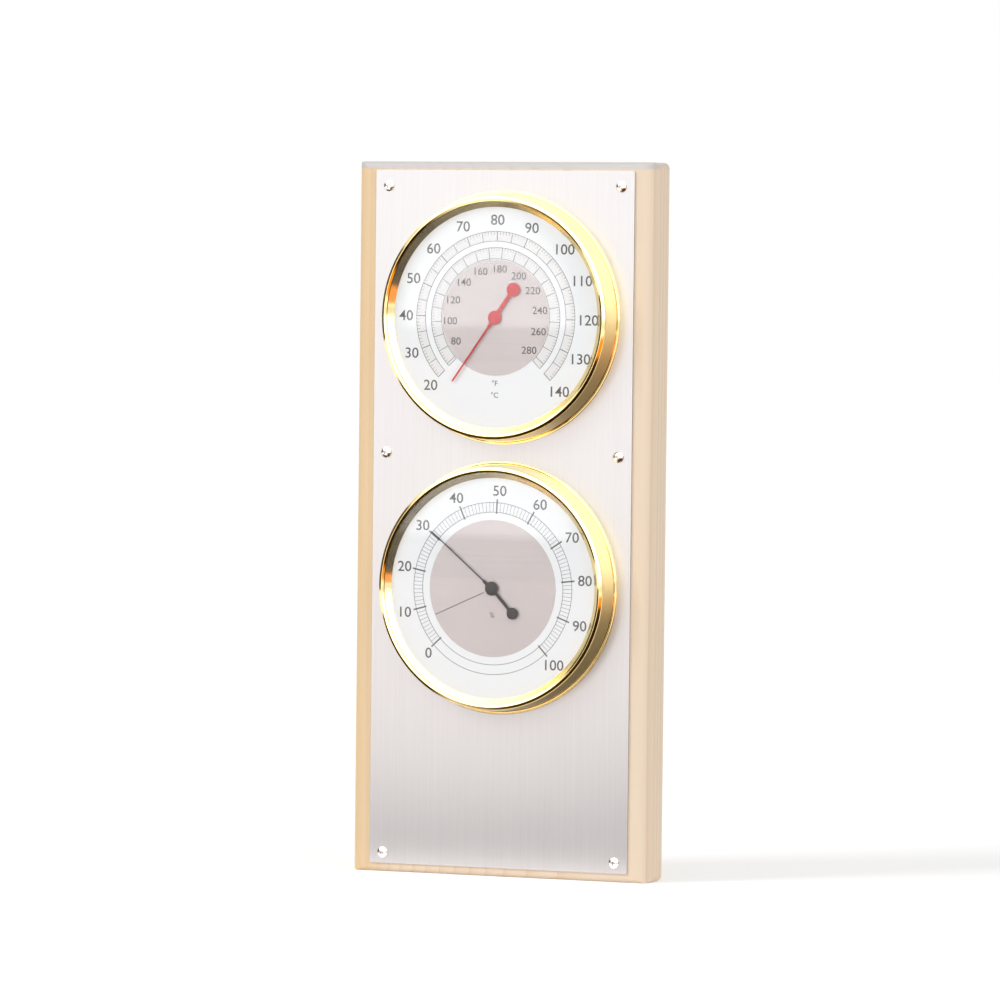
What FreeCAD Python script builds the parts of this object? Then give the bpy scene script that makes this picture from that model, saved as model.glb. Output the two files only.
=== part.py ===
import FreeCAD
import Part
import math
import os

# Wall thermo-hygrometer: two round gauges on a steel face plate, screwed to a wooden back board.
# Millimetres. The origin is the centre of the board's back face, which lies on the wall.
# The front looks towards -Y and +Z is up.

# Gauge stack: heights are counted along the gauge's axis from the plate's front face
bezel_lip_radius = 49.0
bezel_sheet = 0.6
bezel_lip_width = 2.0
bezel_lip_round = 1.1
bezel_wall_lean = 1.3
bezel_flange_width = 0.9
bezel_foot_bend = 0.5
bezel_clearance = 0.4
case_sheet = 0.6
case_rim_height = 7.0
case_recess_clearance = 0.5
glass_thickness = 0.9
glass_dome_radius = 700.0
glass_clearance = 0.3
ring_step = 0.1
ring_cone_width = 2.3
ring_toe = 0.2
dial_thickness = 0.5
dial_hole_clearance = 0.85
centre_disc_thickness = 0.12
thermometer_centre_radius = 23.3
hygrometer_centre_radius = 27.6
slit_width = 0.35
slit_start_radius = 4.2
slit_angle = 246.0

# Pointers: angles are clockwise from straight up, as seen from the front
thermometer_angle = 215.4
hygrometer_angle = 310.0
hygrometer_tail_bend = 7.0
thermometer_needle_margin = 13.0
hygrometer_needle_margin = 9.7
thermometer_needle_width = 1.4
hygrometer_needle_width = 0.8
needle_tip_width = 0.4
needle_stub_length = 1.9
needle_stub_width = 1.5
thermometer_tail_length = 13.9
hygrometer_tail_length = 13.4
thermometer_tail_width = 1.6
hygrometer_tail_width = 1.2
thermometer_tail_disc_radius = 2.8
hygrometer_tail_disc_radius = 2.4
pointer_rise = 0.8
pointer_sheet = 0.3
hub_radius = 2.85
hub_height = 0.9
hub_round = 0.3

# Face plate and its screws
gauge_gap = 6.7
plate_top_margin = 8.2
plate_side_margin = 5.55
plate_thickness = 0.8
plate_corner_round = 0.8
plate_hole_clearance = 0.3
plate_screw_inset = 5.7
plate_screw_top_inset = 6.4
plate_screw_bottom_inset = 4.3
plate_screw_middle_drop = 0.75
plate_screw_head_radius = 2.25
plate_screw_head_height = 1.25
plate_screw_shank_radius = 1.1
plate_screw_length = 10.0
plate_screw_hole_clearance = 0.3
pilot_clearance = 0.05
recess_arm_length = 2.4
recess_arm_width = 0.5
recess_depth = 0.7

# Back board
board_height = 289.0
board_thickness = 14.0
board_side_margin = 9.0
board_end_margin = 3.5
board_side_round = 5.5
board_top_round = 2.8
board_bottom_round = 1.6
board_corner_round = 2.5
wood_behind_case = 7.8

# Movement inside the case
pivot_radius = 0.4
pivot_length = 1.4
staff_radius = 0.75
running_clearance = 0.05
press_gap = 0.01
bush_wall = 1.0
bush_flange_width = 1.2
bush_flange_thickness = 0.6
bush_length = 2.0
end_shake = 0.15
bridge_thickness = 0.8
bridge_width = 8.0
bridge_end_round = 3.6
bridge_end_margin = 3.0
pillar_wall = 0.95
pillar_gap = 0.1
pillar_spigot_radius = 1.1
bridge_screw_radius = 0.9
bridge_screw_length = 4.0
bridge_screw_head_width = 0.8
bridge_screw_head_height = 0.9
thread_clearance = 0.05
slot_width = 0.4
slot_depth = 0.4
collet_wall = 1.45
coil_start_gap = 0.15
coil_floor_gap = 1.8
coil_bridge_gap = 2.2
thermometer_coil_width = 4.0
hygrometer_coil_width = 3.0
thermometer_coil_strip = 0.4
hygrometer_coil_strip = 0.25
thermometer_coil_pitch = 1.3
hygrometer_coil_pitch = 1.0
thermometer_coil_half_turns = 8
hygrometer_coil_half_turns = 12
coil_post_radius = 1.4
coil_post_gap = 0.3
coil_slot_clearance = 0.06
coil_tail_end = 0.8

# Fixing of each case, from the back of the board
case_screw_offset = 20.0
case_screw_drop = 20.0
case_screw_radius = 1.4
case_screw_head_width = 1.35
case_screw_head_height = 1.9
case_screw_bush_wall = 1.2
case_screw_bush_length = 2.4
case_screw_hole_clearance = 0.3
counterbore_clearance = 0.65
counterbore_extra_depth = 0.7

# Air holes behind the hygrometer
vent_count = 6
vent_edge_margin = 14.0
vent_case_radius = 3.0
vent_board_radius = 3.2

# Keyhole hanger in the back of the board
hanger_top_margin = 26.5
hanger_width = 40.0
hanger_depth = 16.0
hanger_sheet = 1.2
hanger_corner_round = 2.0
hanger_clearance = 0.1
hanger_entry_radius = 4.5
hanger_entry_edge = 1.3
hanger_slot_radius = 2.2
hanger_slot_edge = 1.0
hanger_pocket_side = 3.5
hanger_pocket_ledge = 0.8
hanger_pocket_wall = 1.8
hanger_screw_inset = 5.5
hanger_screw_radius = 1.3
hanger_screw_clearance = 0.1

overrun = 1.0

# Radii that follow from the sizes above
case_radius = bezel_lip_radius - bezel_sheet - bezel_clearance
bezel_foot_radius = bezel_lip_radius + bezel_wall_lean
bezel_flange_radius = bezel_foot_radius + bezel_flange_width
case_flange_radius = bezel_foot_radius - bezel_sheet - bezel_clearance
bezel_lip_bore_radius = bezel_lip_radius - bezel_lip_width
ring_front_radius = bezel_lip_bore_radius - ring_step
ring_inner_radius = ring_front_radius - ring_cone_width
dial_hole_radius = staff_radius + dial_hole_clearance
collet_radius = staff_radius + collet_wall
bush_radius = staff_radius + running_clearance + bush_wall
bush_flange_radius = bush_radius + bush_flange_width
pillar_radius = bridge_screw_radius + thread_clearance + pillar_wall
bridge_screw_head_radius = bridge_screw_radius + bridge_screw_head_width
case_screw_head_radius = case_screw_radius + case_screw_head_width
case_screw_bush_radius = case_screw_radius + case_screw_bush_wall
counterbore_radius = case_screw_head_radius + counterbore_clearance
hanger_screw_head_radius = hanger_screw_radius + hanger_sheet

# Outlines and places in the front view
plate_width = 2 * (bezel_flange_radius + plate_side_margin)
plate_height = board_height - 2 * board_end_margin
board_width = plate_width + 2 * board_side_margin
thermometer_height = plate_height / 2 - plate_top_margin - bezel_flange_radius
hygrometer_height = thermometer_height - 2 * bezel_flange_radius - gauge_gap
thermometer_needle_length = ring_inner_radius - thermometer_needle_margin
hygrometer_needle_length = ring_inner_radius - hygrometer_needle_margin
vent_circle_radius = case_radius - vent_edge_margin
thermometer_coil_reach = thermometer_coil_strip + thermometer_coil_pitch * thermometer_coil_half_turns / 2
hygrometer_coil_reach = hygrometer_coil_strip + hygrometer_coil_pitch * hygrometer_coil_half_turns / 2
coil_reach = collet_radius + coil_start_gap + max(thermometer_coil_reach, hygrometer_coil_reach)
pillar_offset = coil_reach + coil_post_radius + pillar_gap + pillar_radius
bridge_length = 2 * (pillar_offset + bridge_end_margin)
hanger_height = board_height / 2 - hanger_top_margin
hanger_entry_y = hanger_entry_radius + hanger_entry_edge - hanger_depth / 2
hanger_slot_y = hanger_depth / 2 - hanger_slot_edge - hanger_slot_radius
hanger_screw_offset = hanger_width / 2 - hanger_screw_inset

# Heights along the gauge's axis
case_depth = board_thickness + plate_thickness - wood_behind_case
dial_back = case_rim_height
dial_face = dial_back + dial_thickness
pointer_back = dial_face + pointer_rise
glass_back = pointer_back + hub_height + glass_clearance
glass_front = glass_back + glass_thickness
bezel_height = glass_front + bezel_sheet
case_floor_top = case_sheet - case_depth
rear_bush_top = bush_length - case_depth
staff_shoulder = rear_bush_top + end_shake
coil_bottom = case_floor_top + coil_floor_gap
bridge_height = coil_bottom + max(thermometer_coil_width, hygrometer_coil_width) + coil_bridge_gap
bridge_top = bridge_height + bridge_thickness
front_bush_bottom = bridge_height - bush_flange_thickness
collet_top = front_bush_bottom - end_shake
board_front_height = -plate_thickness
board_back_height = -(board_thickness + plate_thickness)
counterbore_floor = board_back_height + case_screw_head_height + counterbore_extra_depth
hanger_pocket_floor = board_back_height + wood_behind_case - hanger_pocket_wall
hanger_screw_length = wood_behind_case - hanger_pocket_wall

forward = FreeCAD.Vector(0, 0, 1)
origin = FreeCAD.Vector(0, 0, 0)


def rounded_wire(corners, place):
    """Closed wire through corners (a, b, radius), each corner rounded with its own radius."""
    starts = []
    ends = []
    middles = []
    for index, (a, b, radius) in enumerate(corners):
        here = FreeCAD.Vector(a, b, 0)
        before = FreeCAD.Vector(corners[index - 1][0], corners[index - 1][1], 0)
        following = corners[(index + 1) % len(corners)]
        after = FreeCAD.Vector(following[0], following[1], 0)
        if radius == 0:
            starts.append(here)
            ends.append(here)
            middles.append(None)
            continue
        to_before = (before - here).normalize()
        to_after = (after - here).normalize()
        half_angle = to_before.getAngle(to_after) / 2
        run = radius / math.tan(half_angle)
        bisector = (to_before + to_after).normalize()
        centre = here + bisector * (radius / math.sin(half_angle))
        starts.append(here + to_before * run)
        ends.append(here + to_after * run)
        middles.append(centre - bisector * radius)
    edges = []
    for index, middle in enumerate(middles):
        if middle is not None:
            edges.append(Part.Arc(place(starts[index]), place(middle), place(ends[index])).toShape())
        following = (index + 1) % len(corners)
        if ends[index].distanceToPoint(starts[following]) > 0:
            edges.append(Part.LineSegment(place(ends[index]), place(starts[following])).toShape())
    return Part.Wire(edges)


def turned(corners):
    """Solid of revolution about the gauge's axis from corners (radius, height, rounding)."""
    face = Part.Face(rounded_wire(corners, lambda p: FreeCAD.Vector(p.x, 0, p.y)))
    return face.revolve(origin, forward, 360)


def sheet(corners, bottom, top):
    """Flat piece between two heights from corners (x, y, rounding)."""
    face = Part.Face(rounded_wire(corners, lambda p: FreeCAD.Vector(p.x, p.y, bottom)))
    return face.extrude(forward * (top - bottom))


def rectangle(width, height, rounding=0):
    """Corners of a rectangle about the origin."""
    a = width / 2
    b = height / 2
    return [(-a, -b, rounding), (a, -b, rounding), (a, b, rounding), (-a, b, rounding)]


def rod(radius, bottom, top, x=0, y=0):
    """Round bar along the gauge's axis between two heights."""
    return Part.makeCylinder(radius, top - bottom, FreeCAD.Vector(x, y, bottom), forward)


def slab(x_low, x_high, y_low, y_high, bottom, top):
    """Box between limits."""
    corner = FreeCAD.Vector(x_low, y_low, bottom)
    return Part.makeBox(x_high - x_low, y_high - y_low, top - bottom, corner)


def on_gauge(shape, gauge_height):
    """Stand a piece built about the gauge's axis in its place on the plate."""
    placed = shape.copy()
    placed.rotate(origin, FreeCAD.Vector(1, 0, 0), 90)
    placed.translate(FreeCAD.Vector(0, board_back_height, gauge_height))
    return placed


def facing_front(shape):
    """Stand a piece built about the plate's centre in its place."""
    return on_gauge(shape, 0)


def clockwise(shape, angle):
    """Turn a piece built pointing up to a clockwise angle seen from the front."""
    turned_piece = shape.copy()
    turned_piece.rotate(origin, forward, -angle)
    return turned_piece


def cross_recess(low, high):
    """Tool for the cross in a screw head, between two heights."""
    reach = recess_arm_length / 2
    half = recess_arm_width / 2
    return slab(-reach, reach, -half, half, low, high).fuse(slab(-half, half, -reach, reach, low, high))


def plate_screw_places():
    """Centres of the six face plate screws."""
    x = plate_width / 2 - plate_screw_inset
    top = plate_height / 2 - plate_screw_top_inset
    middle = (thermometer_height + hygrometer_height) / 2 - plate_screw_middle_drop
    bottom = plate_screw_bottom_inset - plate_height / 2
    return [(side * x, y) for y in (top, middle, bottom) for side in (-1, 1)]


def case_screw_places():
    """Centres of the two screws that hold a case, about the gauge's axis."""
    return [(side * case_screw_offset, -case_screw_drop) for side in (-1, 1)]


def vent_places():
    """Centres of the air holes behind the hygrometer, none of them straight up."""
    step = 2 * math.pi / vent_count
    angles = [step * (index + 1 / 2) for index in range(vent_count)]
    return [(vent_circle_radius * math.sin(a), vent_circle_radius * math.cos(a)) for a in angles]


def hanger_outline(grow):
    """Corners of the hanger plate, grown on all sides."""
    return rectangle(hanger_width + 2 * grow, hanger_depth + 2 * grow, hanger_corner_round)


def back_board():
    a = board_width / 2
    b = board_height / 2
    corners = rectangle(board_width, board_height, board_corner_round)
    front_view = sheet(corners, board_back_height, board_front_height)
    plan = rounded_wire(
        [(-a, board_back_height, 0), (a, board_back_height, 0),
         (a, board_front_height, board_side_round), (-a, board_front_height, board_side_round)],
        lambda p: FreeCAD.Vector(p.x, -b, p.y))
    plan_solid = Part.Face(plan).extrude(FreeCAD.Vector(0, board_height, 0))
    profile = rounded_wire(
        [(-b, board_back_height, 0), (b, board_back_height, 0),
         (b, board_front_height, board_top_round), (-b, board_front_height, board_bottom_round)],
        lambda p: FreeCAD.Vector(-a, p.x, p.y))
    profile_solid = Part.Face(profile).extrude(FreeCAD.Vector(board_width, 0, 0))
    board = front_view.common(plan_solid).common(profile_solid)
    cuts = []
    for height in (thermometer_height, hygrometer_height):
        recess = rod(case_radius + case_recess_clearance, -case_depth, overrun, 0, height)
        cuts.append(recess)
        for x, y in case_screw_places():
            hole = case_screw_radius + case_screw_hole_clearance
            outside = board_back_height - overrun
            cuts.append(rod(hole, outside, overrun, x, height + y))
            cuts.append(rod(counterbore_radius, outside, counterbore_floor, x, height + y))
    for x, y in vent_places():
        cuts.append(rod(vent_board_radius, board_back_height - overrun, overrun, x, hygrometer_height + y))
    for x, y in plate_screw_places():
        end = -plate_screw_length - plate_screw_shank_radius
        cuts.append(rod(plate_screw_shank_radius + pilot_clearance, end, overrun, x, y))
    cuts.append(hanger_pocket())
    for side in (-1, 1):
        pilot_top = board_back_height + hanger_screw_length + hanger_screw_clearance
        pilot = rod(hanger_screw_radius + pilot_clearance, board_back_height, pilot_top,
                    side * hanger_screw_offset, hanger_height)
        cuts.append(pilot)
    return board.cut(cuts)


def hanger_pocket():
    """Tool that lets the hanger plate into the board, with room for a wall screw's head behind it."""
    floor = board_back_height + hanger_sheet
    seat = sheet(hanger_outline(hanger_clearance), board_back_height - overrun, floor)
    seat.translate(FreeCAD.Vector(0, hanger_height, 0))
    half_width = hanger_entry_radius + hanger_pocket_side
    half_depth = hanger_depth / 2 - hanger_pocket_ledge
    room = slab(-half_width, half_width, hanger_height - half_depth, hanger_height + half_depth,
                board_back_height, hanger_pocket_floor)
    return seat.fuse(room)


def face_plate():
    plate = sheet(rectangle(plate_width, plate_height, plate_corner_round), -plate_thickness, 0)
    cuts = []
    for height in (thermometer_height, hygrometer_height):
        hole = case_radius + plate_hole_clearance
        cuts.append(rod(hole, -plate_thickness - overrun, overrun, 0, height))
    for x, y in plate_screw_places():
        hole = plate_screw_shank_radius + plate_screw_hole_clearance
        cuts.append(rod(hole, -plate_thickness - overrun, overrun, x, y))
    return plate.cut(cuts)


def domed_screw():
    """Face plate screw with a domed head and a cross, its head seated at height zero."""
    rise = plate_screw_head_height
    reach = plate_screw_head_radius
    dome_radius = (reach * reach + rise * rise) / (2 * rise)
    dome = Part.makeSphere(dome_radius, FreeCAD.Vector(0, 0, rise - dome_radius))
    head = dome.common(rod(reach, 0, rise))
    head = head.cut(cross_recess(rise - recess_depth, rise + overrun))
    cone_length = plate_screw_shank_radius
    shank = rod(plate_screw_shank_radius, cone_length - plate_screw_length, 0)
    point = Part.makeCone(plate_screw_shank_radius, 0, cone_length,
                          FreeCAD.Vector(0, 0, cone_length - plate_screw_length), forward * -1)
    return head.fuse([shank, point]).removeSplitter()


def plate_screws():
    screws = []
    for x, y in plate_screw_places():
        screw = domed_screw()
        screw.translate(FreeCAD.Vector(x, y, 0))
        screws.append(screw)
    return Part.makeCompound(screws)


def hanger_plate():
    """Keyhole plate: round entry below, slot above, two countersunk screw holes."""
    low = board_back_height
    high = board_back_height + hanger_sheet
    plate = sheet(hanger_outline(0), low, high)
    entry = rod(hanger_entry_radius, low - overrun, high + overrun, 0, hanger_entry_y)
    slot = slab(-hanger_slot_radius, hanger_slot_radius, hanger_entry_y, hanger_slot_y,
                low - overrun, high + overrun)
    slot_end = rod(hanger_slot_radius, low - overrun, high + overrun, 0, hanger_slot_y)
    cuts = [entry, slot, slot_end]
    for side in (-1, 1):
        sink = countersink(hanger_screw_clearance)
        sink.translate(FreeCAD.Vector(side * hanger_screw_offset, 0, low))
        cuts.append(sink)
        hole = hanger_screw_radius + hanger_screw_clearance
        cuts.append(rod(hole, low, high + overrun, side * hanger_screw_offset, 0))
    plate = plate.cut(cuts)
    plate.translate(FreeCAD.Vector(0, hanger_height, 0))
    return plate


def countersink(grow):
    """Cone of a countersunk head whose flat face is at height zero and looks backwards."""
    narrow = hanger_screw_radius + grow
    wide = hanger_screw_head_radius + grow
    return Part.makeCone(wide, narrow, wide - narrow, origin, forward)


def hanger_screws():
    screws = []
    for side in (-1, 1):
        cone = countersink(0)
        shank = rod(hanger_screw_radius, 0, hanger_screw_length)
        screw = cone.fuse(shank).removeSplitter().cut(cross_recess(-overrun, recess_depth))
        screw.translate(FreeCAD.Vector(side * hanger_screw_offset, hanger_height, board_back_height))
        screws.append(screw)
    return Part.makeCompound(screws)


def bezel():
    """Drawn ring: foot on the plate, leaning wall, rounded lip over the edge of the glass."""
    inner_round = bezel_lip_round - bezel_sheet
    return turned([
        (bezel_foot_radius - bezel_sheet, 0, 0),
        (bezel_flange_radius, 0, 0),
        (bezel_flange_radius, bezel_sheet, 0),
        (bezel_foot_radius, bezel_sheet, bezel_foot_bend),
        (bezel_lip_radius, bezel_height, bezel_lip_round),
        (bezel_lip_bore_radius, bezel_height, bezel_sheet / 2),
        (bezel_lip_bore_radius, glass_front, 0),
        (bezel_lip_radius - bezel_sheet, glass_front, inner_round),
    ])


def glass():
    """Slightly domed pane: its rim sits on the spacer ring and its front touches the bezel's lip."""
    front_dome_radius = glass_dome_radius + glass_thickness
    back_centre = glass_back - math.sqrt(glass_dome_radius ** 2 - case_radius ** 2)
    front_centre = glass_front - math.sqrt(front_dome_radius ** 2 - bezel_lip_bore_radius ** 2)
    front = Part.makeSphere(front_dome_radius, forward * front_centre)
    back = Part.makeSphere(glass_dome_radius, forward * back_centre)
    return rod(case_radius, glass_back, front_centre + front_dome_radius).common(front).cut(back)


def spacer_ring():
    """Cone between the dial and the glass."""
    return turned([
        (case_radius, dial_face, 0),
        (case_radius, glass_back, 0),
        (ring_front_radius, glass_back, 0),
        (ring_inner_radius, dial_face + ring_toe, 0),
        (ring_inner_radius, dial_face, 0),
    ])


def dial():
    hole = rod(dial_hole_radius, dial_back - overrun, dial_face + overrun)
    return rod(case_radius, dial_back, dial_face).cut(hole)


def dial_centre(radius, slit):
    """Brushed disc laid on the dial, with a radial slit where asked."""
    top = dial_face + centre_disc_thickness
    disc = rod(radius, dial_face, top).cut(rod(dial_hole_radius, dial_face - overrun, top + overrun))
    if slit:
        strip = slab(-slit_width / 2, slit_width / 2, slit_start_radius, radius + overrun,
                     dial_face - overrun, top + overrun)
        disc = disc.cut(clockwise(strip, slit_angle))
    return disc


def case(vents):
    """Cup with a flange on the plate, two threaded bushes and, behind the hygrometer, air holes."""
    cup = turned([
        (0, -case_depth, 0),
        (case_radius, -case_depth, 2 * case_sheet),
        (case_radius, 0, 0),
        (case_flange_radius, 0, 0),
        (case_flange_radius, case_sheet, 0),
        (case_radius, case_sheet, 0),
        (case_radius, case_rim_height, 0),
        (case_radius - case_sheet, case_rim_height, 0),
        (case_radius - case_sheet, case_floor_top, case_sheet),
        (0, case_floor_top, 0),
    ])
    bushes = [rod(case_screw_bush_radius, case_floor_top, case_floor_top + case_screw_bush_length, x, y)
              for x, y in case_screw_places()]
    cup = cup.fuse(bushes)
    below = -case_depth - overrun
    above = case_floor_top + overrun
    thread = case_screw_radius + thread_clearance
    cuts = [rod(thread, below, above + case_screw_bush_length, x, y) for x, y in case_screw_places()]
    cuts.append(rod(bush_radius + press_gap, below, above))
    for side in (-1, 1):
        cuts.append(rod(pillar_spigot_radius + press_gap, below, above, side * pillar_offset, 0))
    if vents:
        cuts += [rod(vent_case_radius, below, above, x, y) for x, y in vent_places()]
    return cup.cut(cuts)


def case_screws():
    """Pan-head screws from the back of the board into the case's bushes."""
    seat = counterbore_floor
    tip = case_floor_top + case_screw_bush_length
    screws = []
    for x, y in case_screw_places():
        shank = rod(case_screw_radius, seat, tip)
        head = rod(case_screw_head_radius, seat - case_screw_head_height, seat)
        face = seat - case_screw_head_height
        screw = head.fuse(shank).removeSplitter().cut(cross_recess(face - overrun, face + recess_depth))
        screw.translate(FreeCAD.Vector(x, y, 0))
        screws.append(screw)
    return Part.makeCompound(screws)


def pillars():
    """Two pillars riveted in the case floor, bored for the bridge screws."""
    made = []
    for side in (-1, 1):
        x = side * pillar_offset
        spigot = rod(pillar_spigot_radius, -case_depth, case_floor_top, x, 0)
        body = rod(pillar_radius, case_floor_top, bridge_height, x, 0)
        bore_bottom = bridge_top - bridge_screw_length - thread_clearance
        bore = rod(bridge_screw_radius + thread_clearance, bore_bottom, bridge_height + overrun, x, 0)
        made.append(body.fuse(spigot).cut(bore))
    return Part.makeCompound(made)


def bridge():
    strip = sheet(rectangle(bridge_length, bridge_width, bridge_end_round), bridge_height, bridge_top)
    cuts = [rod(bush_radius + press_gap, bridge_height - overrun, bridge_top + overrun)]
    for side in (-1, 1):
        hole = bridge_screw_radius + thread_clearance
        cuts.append(rod(hole, bridge_height - overrun, bridge_top + overrun, side * pillar_offset, 0))
    return strip.cut(cuts)


def bridge_screws():
    """Slotted cheese-head screws through the bridge."""
    top = bridge_top + bridge_screw_head_height
    screws = []
    for side in (-1, 1):
        head = rod(bridge_screw_head_radius, bridge_top, top)
        shank = rod(bridge_screw_radius, bridge_top - bridge_screw_length, bridge_top)
        reach = bridge_screw_head_radius + overrun
        slot = slab(-slot_width / 2, slot_width / 2, -reach, reach, top - slot_depth, top + overrun)
        screw = head.fuse(shank).removeSplitter().cut(slot)
        screw.translate(FreeCAD.Vector(side * pillar_offset, 0, 0))
        screws.append(screw)
    return Part.makeCompound(screws)


def rear_bush():
    """Flanged bush in the case floor with a blind bore for the staff's pivot."""
    body = rod(bush_radius, -case_depth, rear_bush_top)
    flange = rod(bush_flange_radius, case_floor_top, case_floor_top + bush_flange_thickness)
    bore_bottom = staff_shoulder - pivot_length - end_shake
    bore = rod(pivot_radius + running_clearance, bore_bottom, rear_bush_top + overrun)
    return body.fuse(flange).removeSplitter().cut(bore)


def front_bush():
    """Flanged bush in the bridge, flange underneath."""
    low = front_bush_bottom
    body = rod(bush_radius, low, low + bush_length)
    flange = rod(bush_flange_radius, low, bridge_height)
    bore = rod(staff_radius + running_clearance, low - overrun, low + bush_length + overrun)
    return body.fuse(flange).removeSplitter().cut(bore)


def staff():
    """Turning shaft with a thinner rear pivot; the pointer sits on its front end."""
    pivot = rod(pivot_radius, staff_shoulder - pivot_length, staff_shoulder)
    body = rod(staff_radius, staff_shoulder, pointer_back + hub_height / 2)
    return body.fuse(pivot)


def collet():
    """Sleeve on the staff inside the coil; it stops the staff under the front bush."""
    body = rod(collet_radius, coil_bottom, collet_top)
    return body.cut(rod(staff_radius + press_gap, coil_bottom - overrun, collet_top + overrun))


def coil_rows(pitch, strip, half_turns):
    """Centre and radius of each half turn's middle line: two-centre spiral, one pitch per full turn."""
    start = collet_radius + coil_start_gap + strip / 2
    return [((index % 2) * pitch / 2, start + index * pitch / 2) for index in range(half_turns)]


def coil_gap(rows, strip):
    """Least free gap between neighbouring turns, measured on points."""
    steps = 36
    points = []
    for index, (centre, radius) in enumerate(rows):
        for step in range(steps):
            angle = math.pi * (step / steps + index % 2)
            points.append((index, centre + radius * math.cos(angle), radius * math.sin(angle)))
    least = min(math.hypot(xa - xb, ya - yb)
                for a, xa, ya in points for b, xb, yb in points if b >= a + 2)
    return least - strip


def coil_end(rows):
    """Place where the spiral's last half turn ends."""
    centre, radius = rows[-1]
    return centre + radius if len(rows) % 2 == 0 else centre - radius


def coil_post_rise(rows, strip):
    """How far up the coil's tail the post stands, clear of the turn beside it."""
    clear = rows[-2][1] + strip / 2 + coil_post_gap + coil_post_radius
    end_x = coil_end(rows)
    return math.sqrt(max(clear * clear - end_x * end_x, coil_post_radius * coil_post_radius))


def coil_line(xa, ya, xb, yb):
    """Straight edge at the coil's lower rim."""
    start = FreeCAD.Vector(xa, ya, coil_bottom)
    finish = FreeCAD.Vector(xb, yb, coil_bottom)
    return Part.LineSegment(start, finish).toShape()


def coil_half_turn(centre, radius, sign):
    """Half circle at the coil's lower rim, on the side that sign gives."""
    start = FreeCAD.Vector(centre + sign * radius, 0, coil_bottom)
    middle = FreeCAD.Vector(centre, sign * radius, coil_bottom)
    finish = FreeCAD.Vector(centre - sign * radius, 0, coil_bottom)
    return Part.Arc(start, middle, finish).toShape()


def coil(rows, width, strip):
    """Spiral strip standing on edge, ending in a straight tail that the post holds."""
    start_x = rows[0][0] + rows[0][1]
    end_x = coil_end(rows)
    tail = coil_post_rise(rows, strip) + coil_tail_end
    half = strip / 2
    edges = [coil_line(start_x - half, 0, start_x + half, 0)]
    for offset in (-half, half):
        for index, (centre, radius) in enumerate(rows):
            edges.append(coil_half_turn(centre, radius + offset, -1 if index % 2 else 1))
        edges.append(coil_line(end_x + offset, 0, end_x + offset, tail))
    edges.append(coil_line(end_x - half, tail, end_x + half, tail))
    wire = Part.Wire(Part.sortEdges(edges)[0])
    return Part.Face(wire).extrude(forward * width)


def coil_post(rows, width, strip):
    """Slotted post that holds the coil's tail."""
    x = coil_end(rows)
    y = coil_post_rise(rows, strip)
    top = coil_bottom + width
    post = rod(coil_post_radius, case_floor_top, top, x, y)
    half = strip / 2 + coil_slot_clearance
    reach = coil_post_radius + overrun
    return post.cut(slab(x - half, x + half, y - reach, y + reach, coil_bottom, top + overrun))


def pointer_tail(length, width, disc_radius):
    """Arm with a counterweight disc, pointing down from the hub."""
    top = pointer_back + pointer_sheet
    arm = slab(-width / 2, width / 2, -length, 0, pointer_back, top)
    return arm.fuse(rod(disc_radius, pointer_back, top, 0, -length))


def pointer(needle_length, needle_width, tail, angle):
    """Flat hand with a raised hub, a stub at the needle's root and a tail opposite."""
    tip = needle_tip_width / 2
    root = needle_width / 2
    top = pointer_back + pointer_sheet
    needle = sheet([(-root, 0, 0), (root, 0, 0), (tip, needle_length, 0), (-tip, needle_length, 0)],
                   pointer_back, top)
    stub = slab(-needle_stub_width / 2, needle_stub_width / 2, 0, hub_radius + needle_stub_length,
                pointer_back, top)
    hub_top = pointer_back + hub_height
    hub = turned([
        (0, pointer_back, 0),
        (hub_radius, pointer_back, 0),
        (hub_radius, hub_top, hub_round),
        (0, hub_top, 0),
    ])
    hand = hub.fuse([needle, stub, tail]).removeSplitter()
    bore = rod(staff_radius + press_gap, pointer_back - overrun, pointer_back + hub_height / 2 + press_gap)
    return clockwise(hand.cut(bore), angle)


def gauge_pieces(kind):
    """All pieces of one gauge by name, built about its own axis."""
    if kind == "thermometer":
        rows = coil_rows(thermometer_coil_pitch, thermometer_coil_strip, thermometer_coil_half_turns)
        strip, width = thermometer_coil_strip, thermometer_coil_width
        centre_disc = dial_centre(thermometer_centre_radius, False)
        tail = pointer_tail(thermometer_tail_length, thermometer_tail_width, thermometer_tail_disc_radius)
        hand = pointer(thermometer_needle_length, thermometer_needle_width, tail, thermometer_angle)
    else:
        rows = coil_rows(hygrometer_coil_pitch, hygrometer_coil_strip, hygrometer_coil_half_turns)
        strip, width = hygrometer_coil_strip, hygrometer_coil_width
        centre_disc = dial_centre(hygrometer_centre_radius, True)
        tail = pointer_tail(hygrometer_tail_length, hygrometer_tail_width, hygrometer_tail_disc_radius)
        tail = clockwise(tail, hygrometer_tail_bend)
        hand = pointer(hygrometer_needle_length, hygrometer_needle_width, tail, hygrometer_angle)
    print(kind, "coil least gap to itself, mm:", round(coil_gap(rows, strip), 3))
    return {
        "case": case(kind == "hygrometer"),
        "case_screws": case_screws(),
        "rear_bush": rear_bush(),
        "pillars": pillars(),
        "bridge": bridge(),
        "bridge_screws": bridge_screws(),
        "front_bush": front_bush(),
        "staff": staff(),
        "collet": collet(),
        "coil": coil(rows, width, strip),
        "coil_post": coil_post(rows, width, strip),
        "dial": dial(),
        "dial_centre": centre_disc,
        "spacer_ring": spacer_ring(),
        "glass": glass(),
        "bezel": bezel(),
        "pointer": hand,
    }


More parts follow.
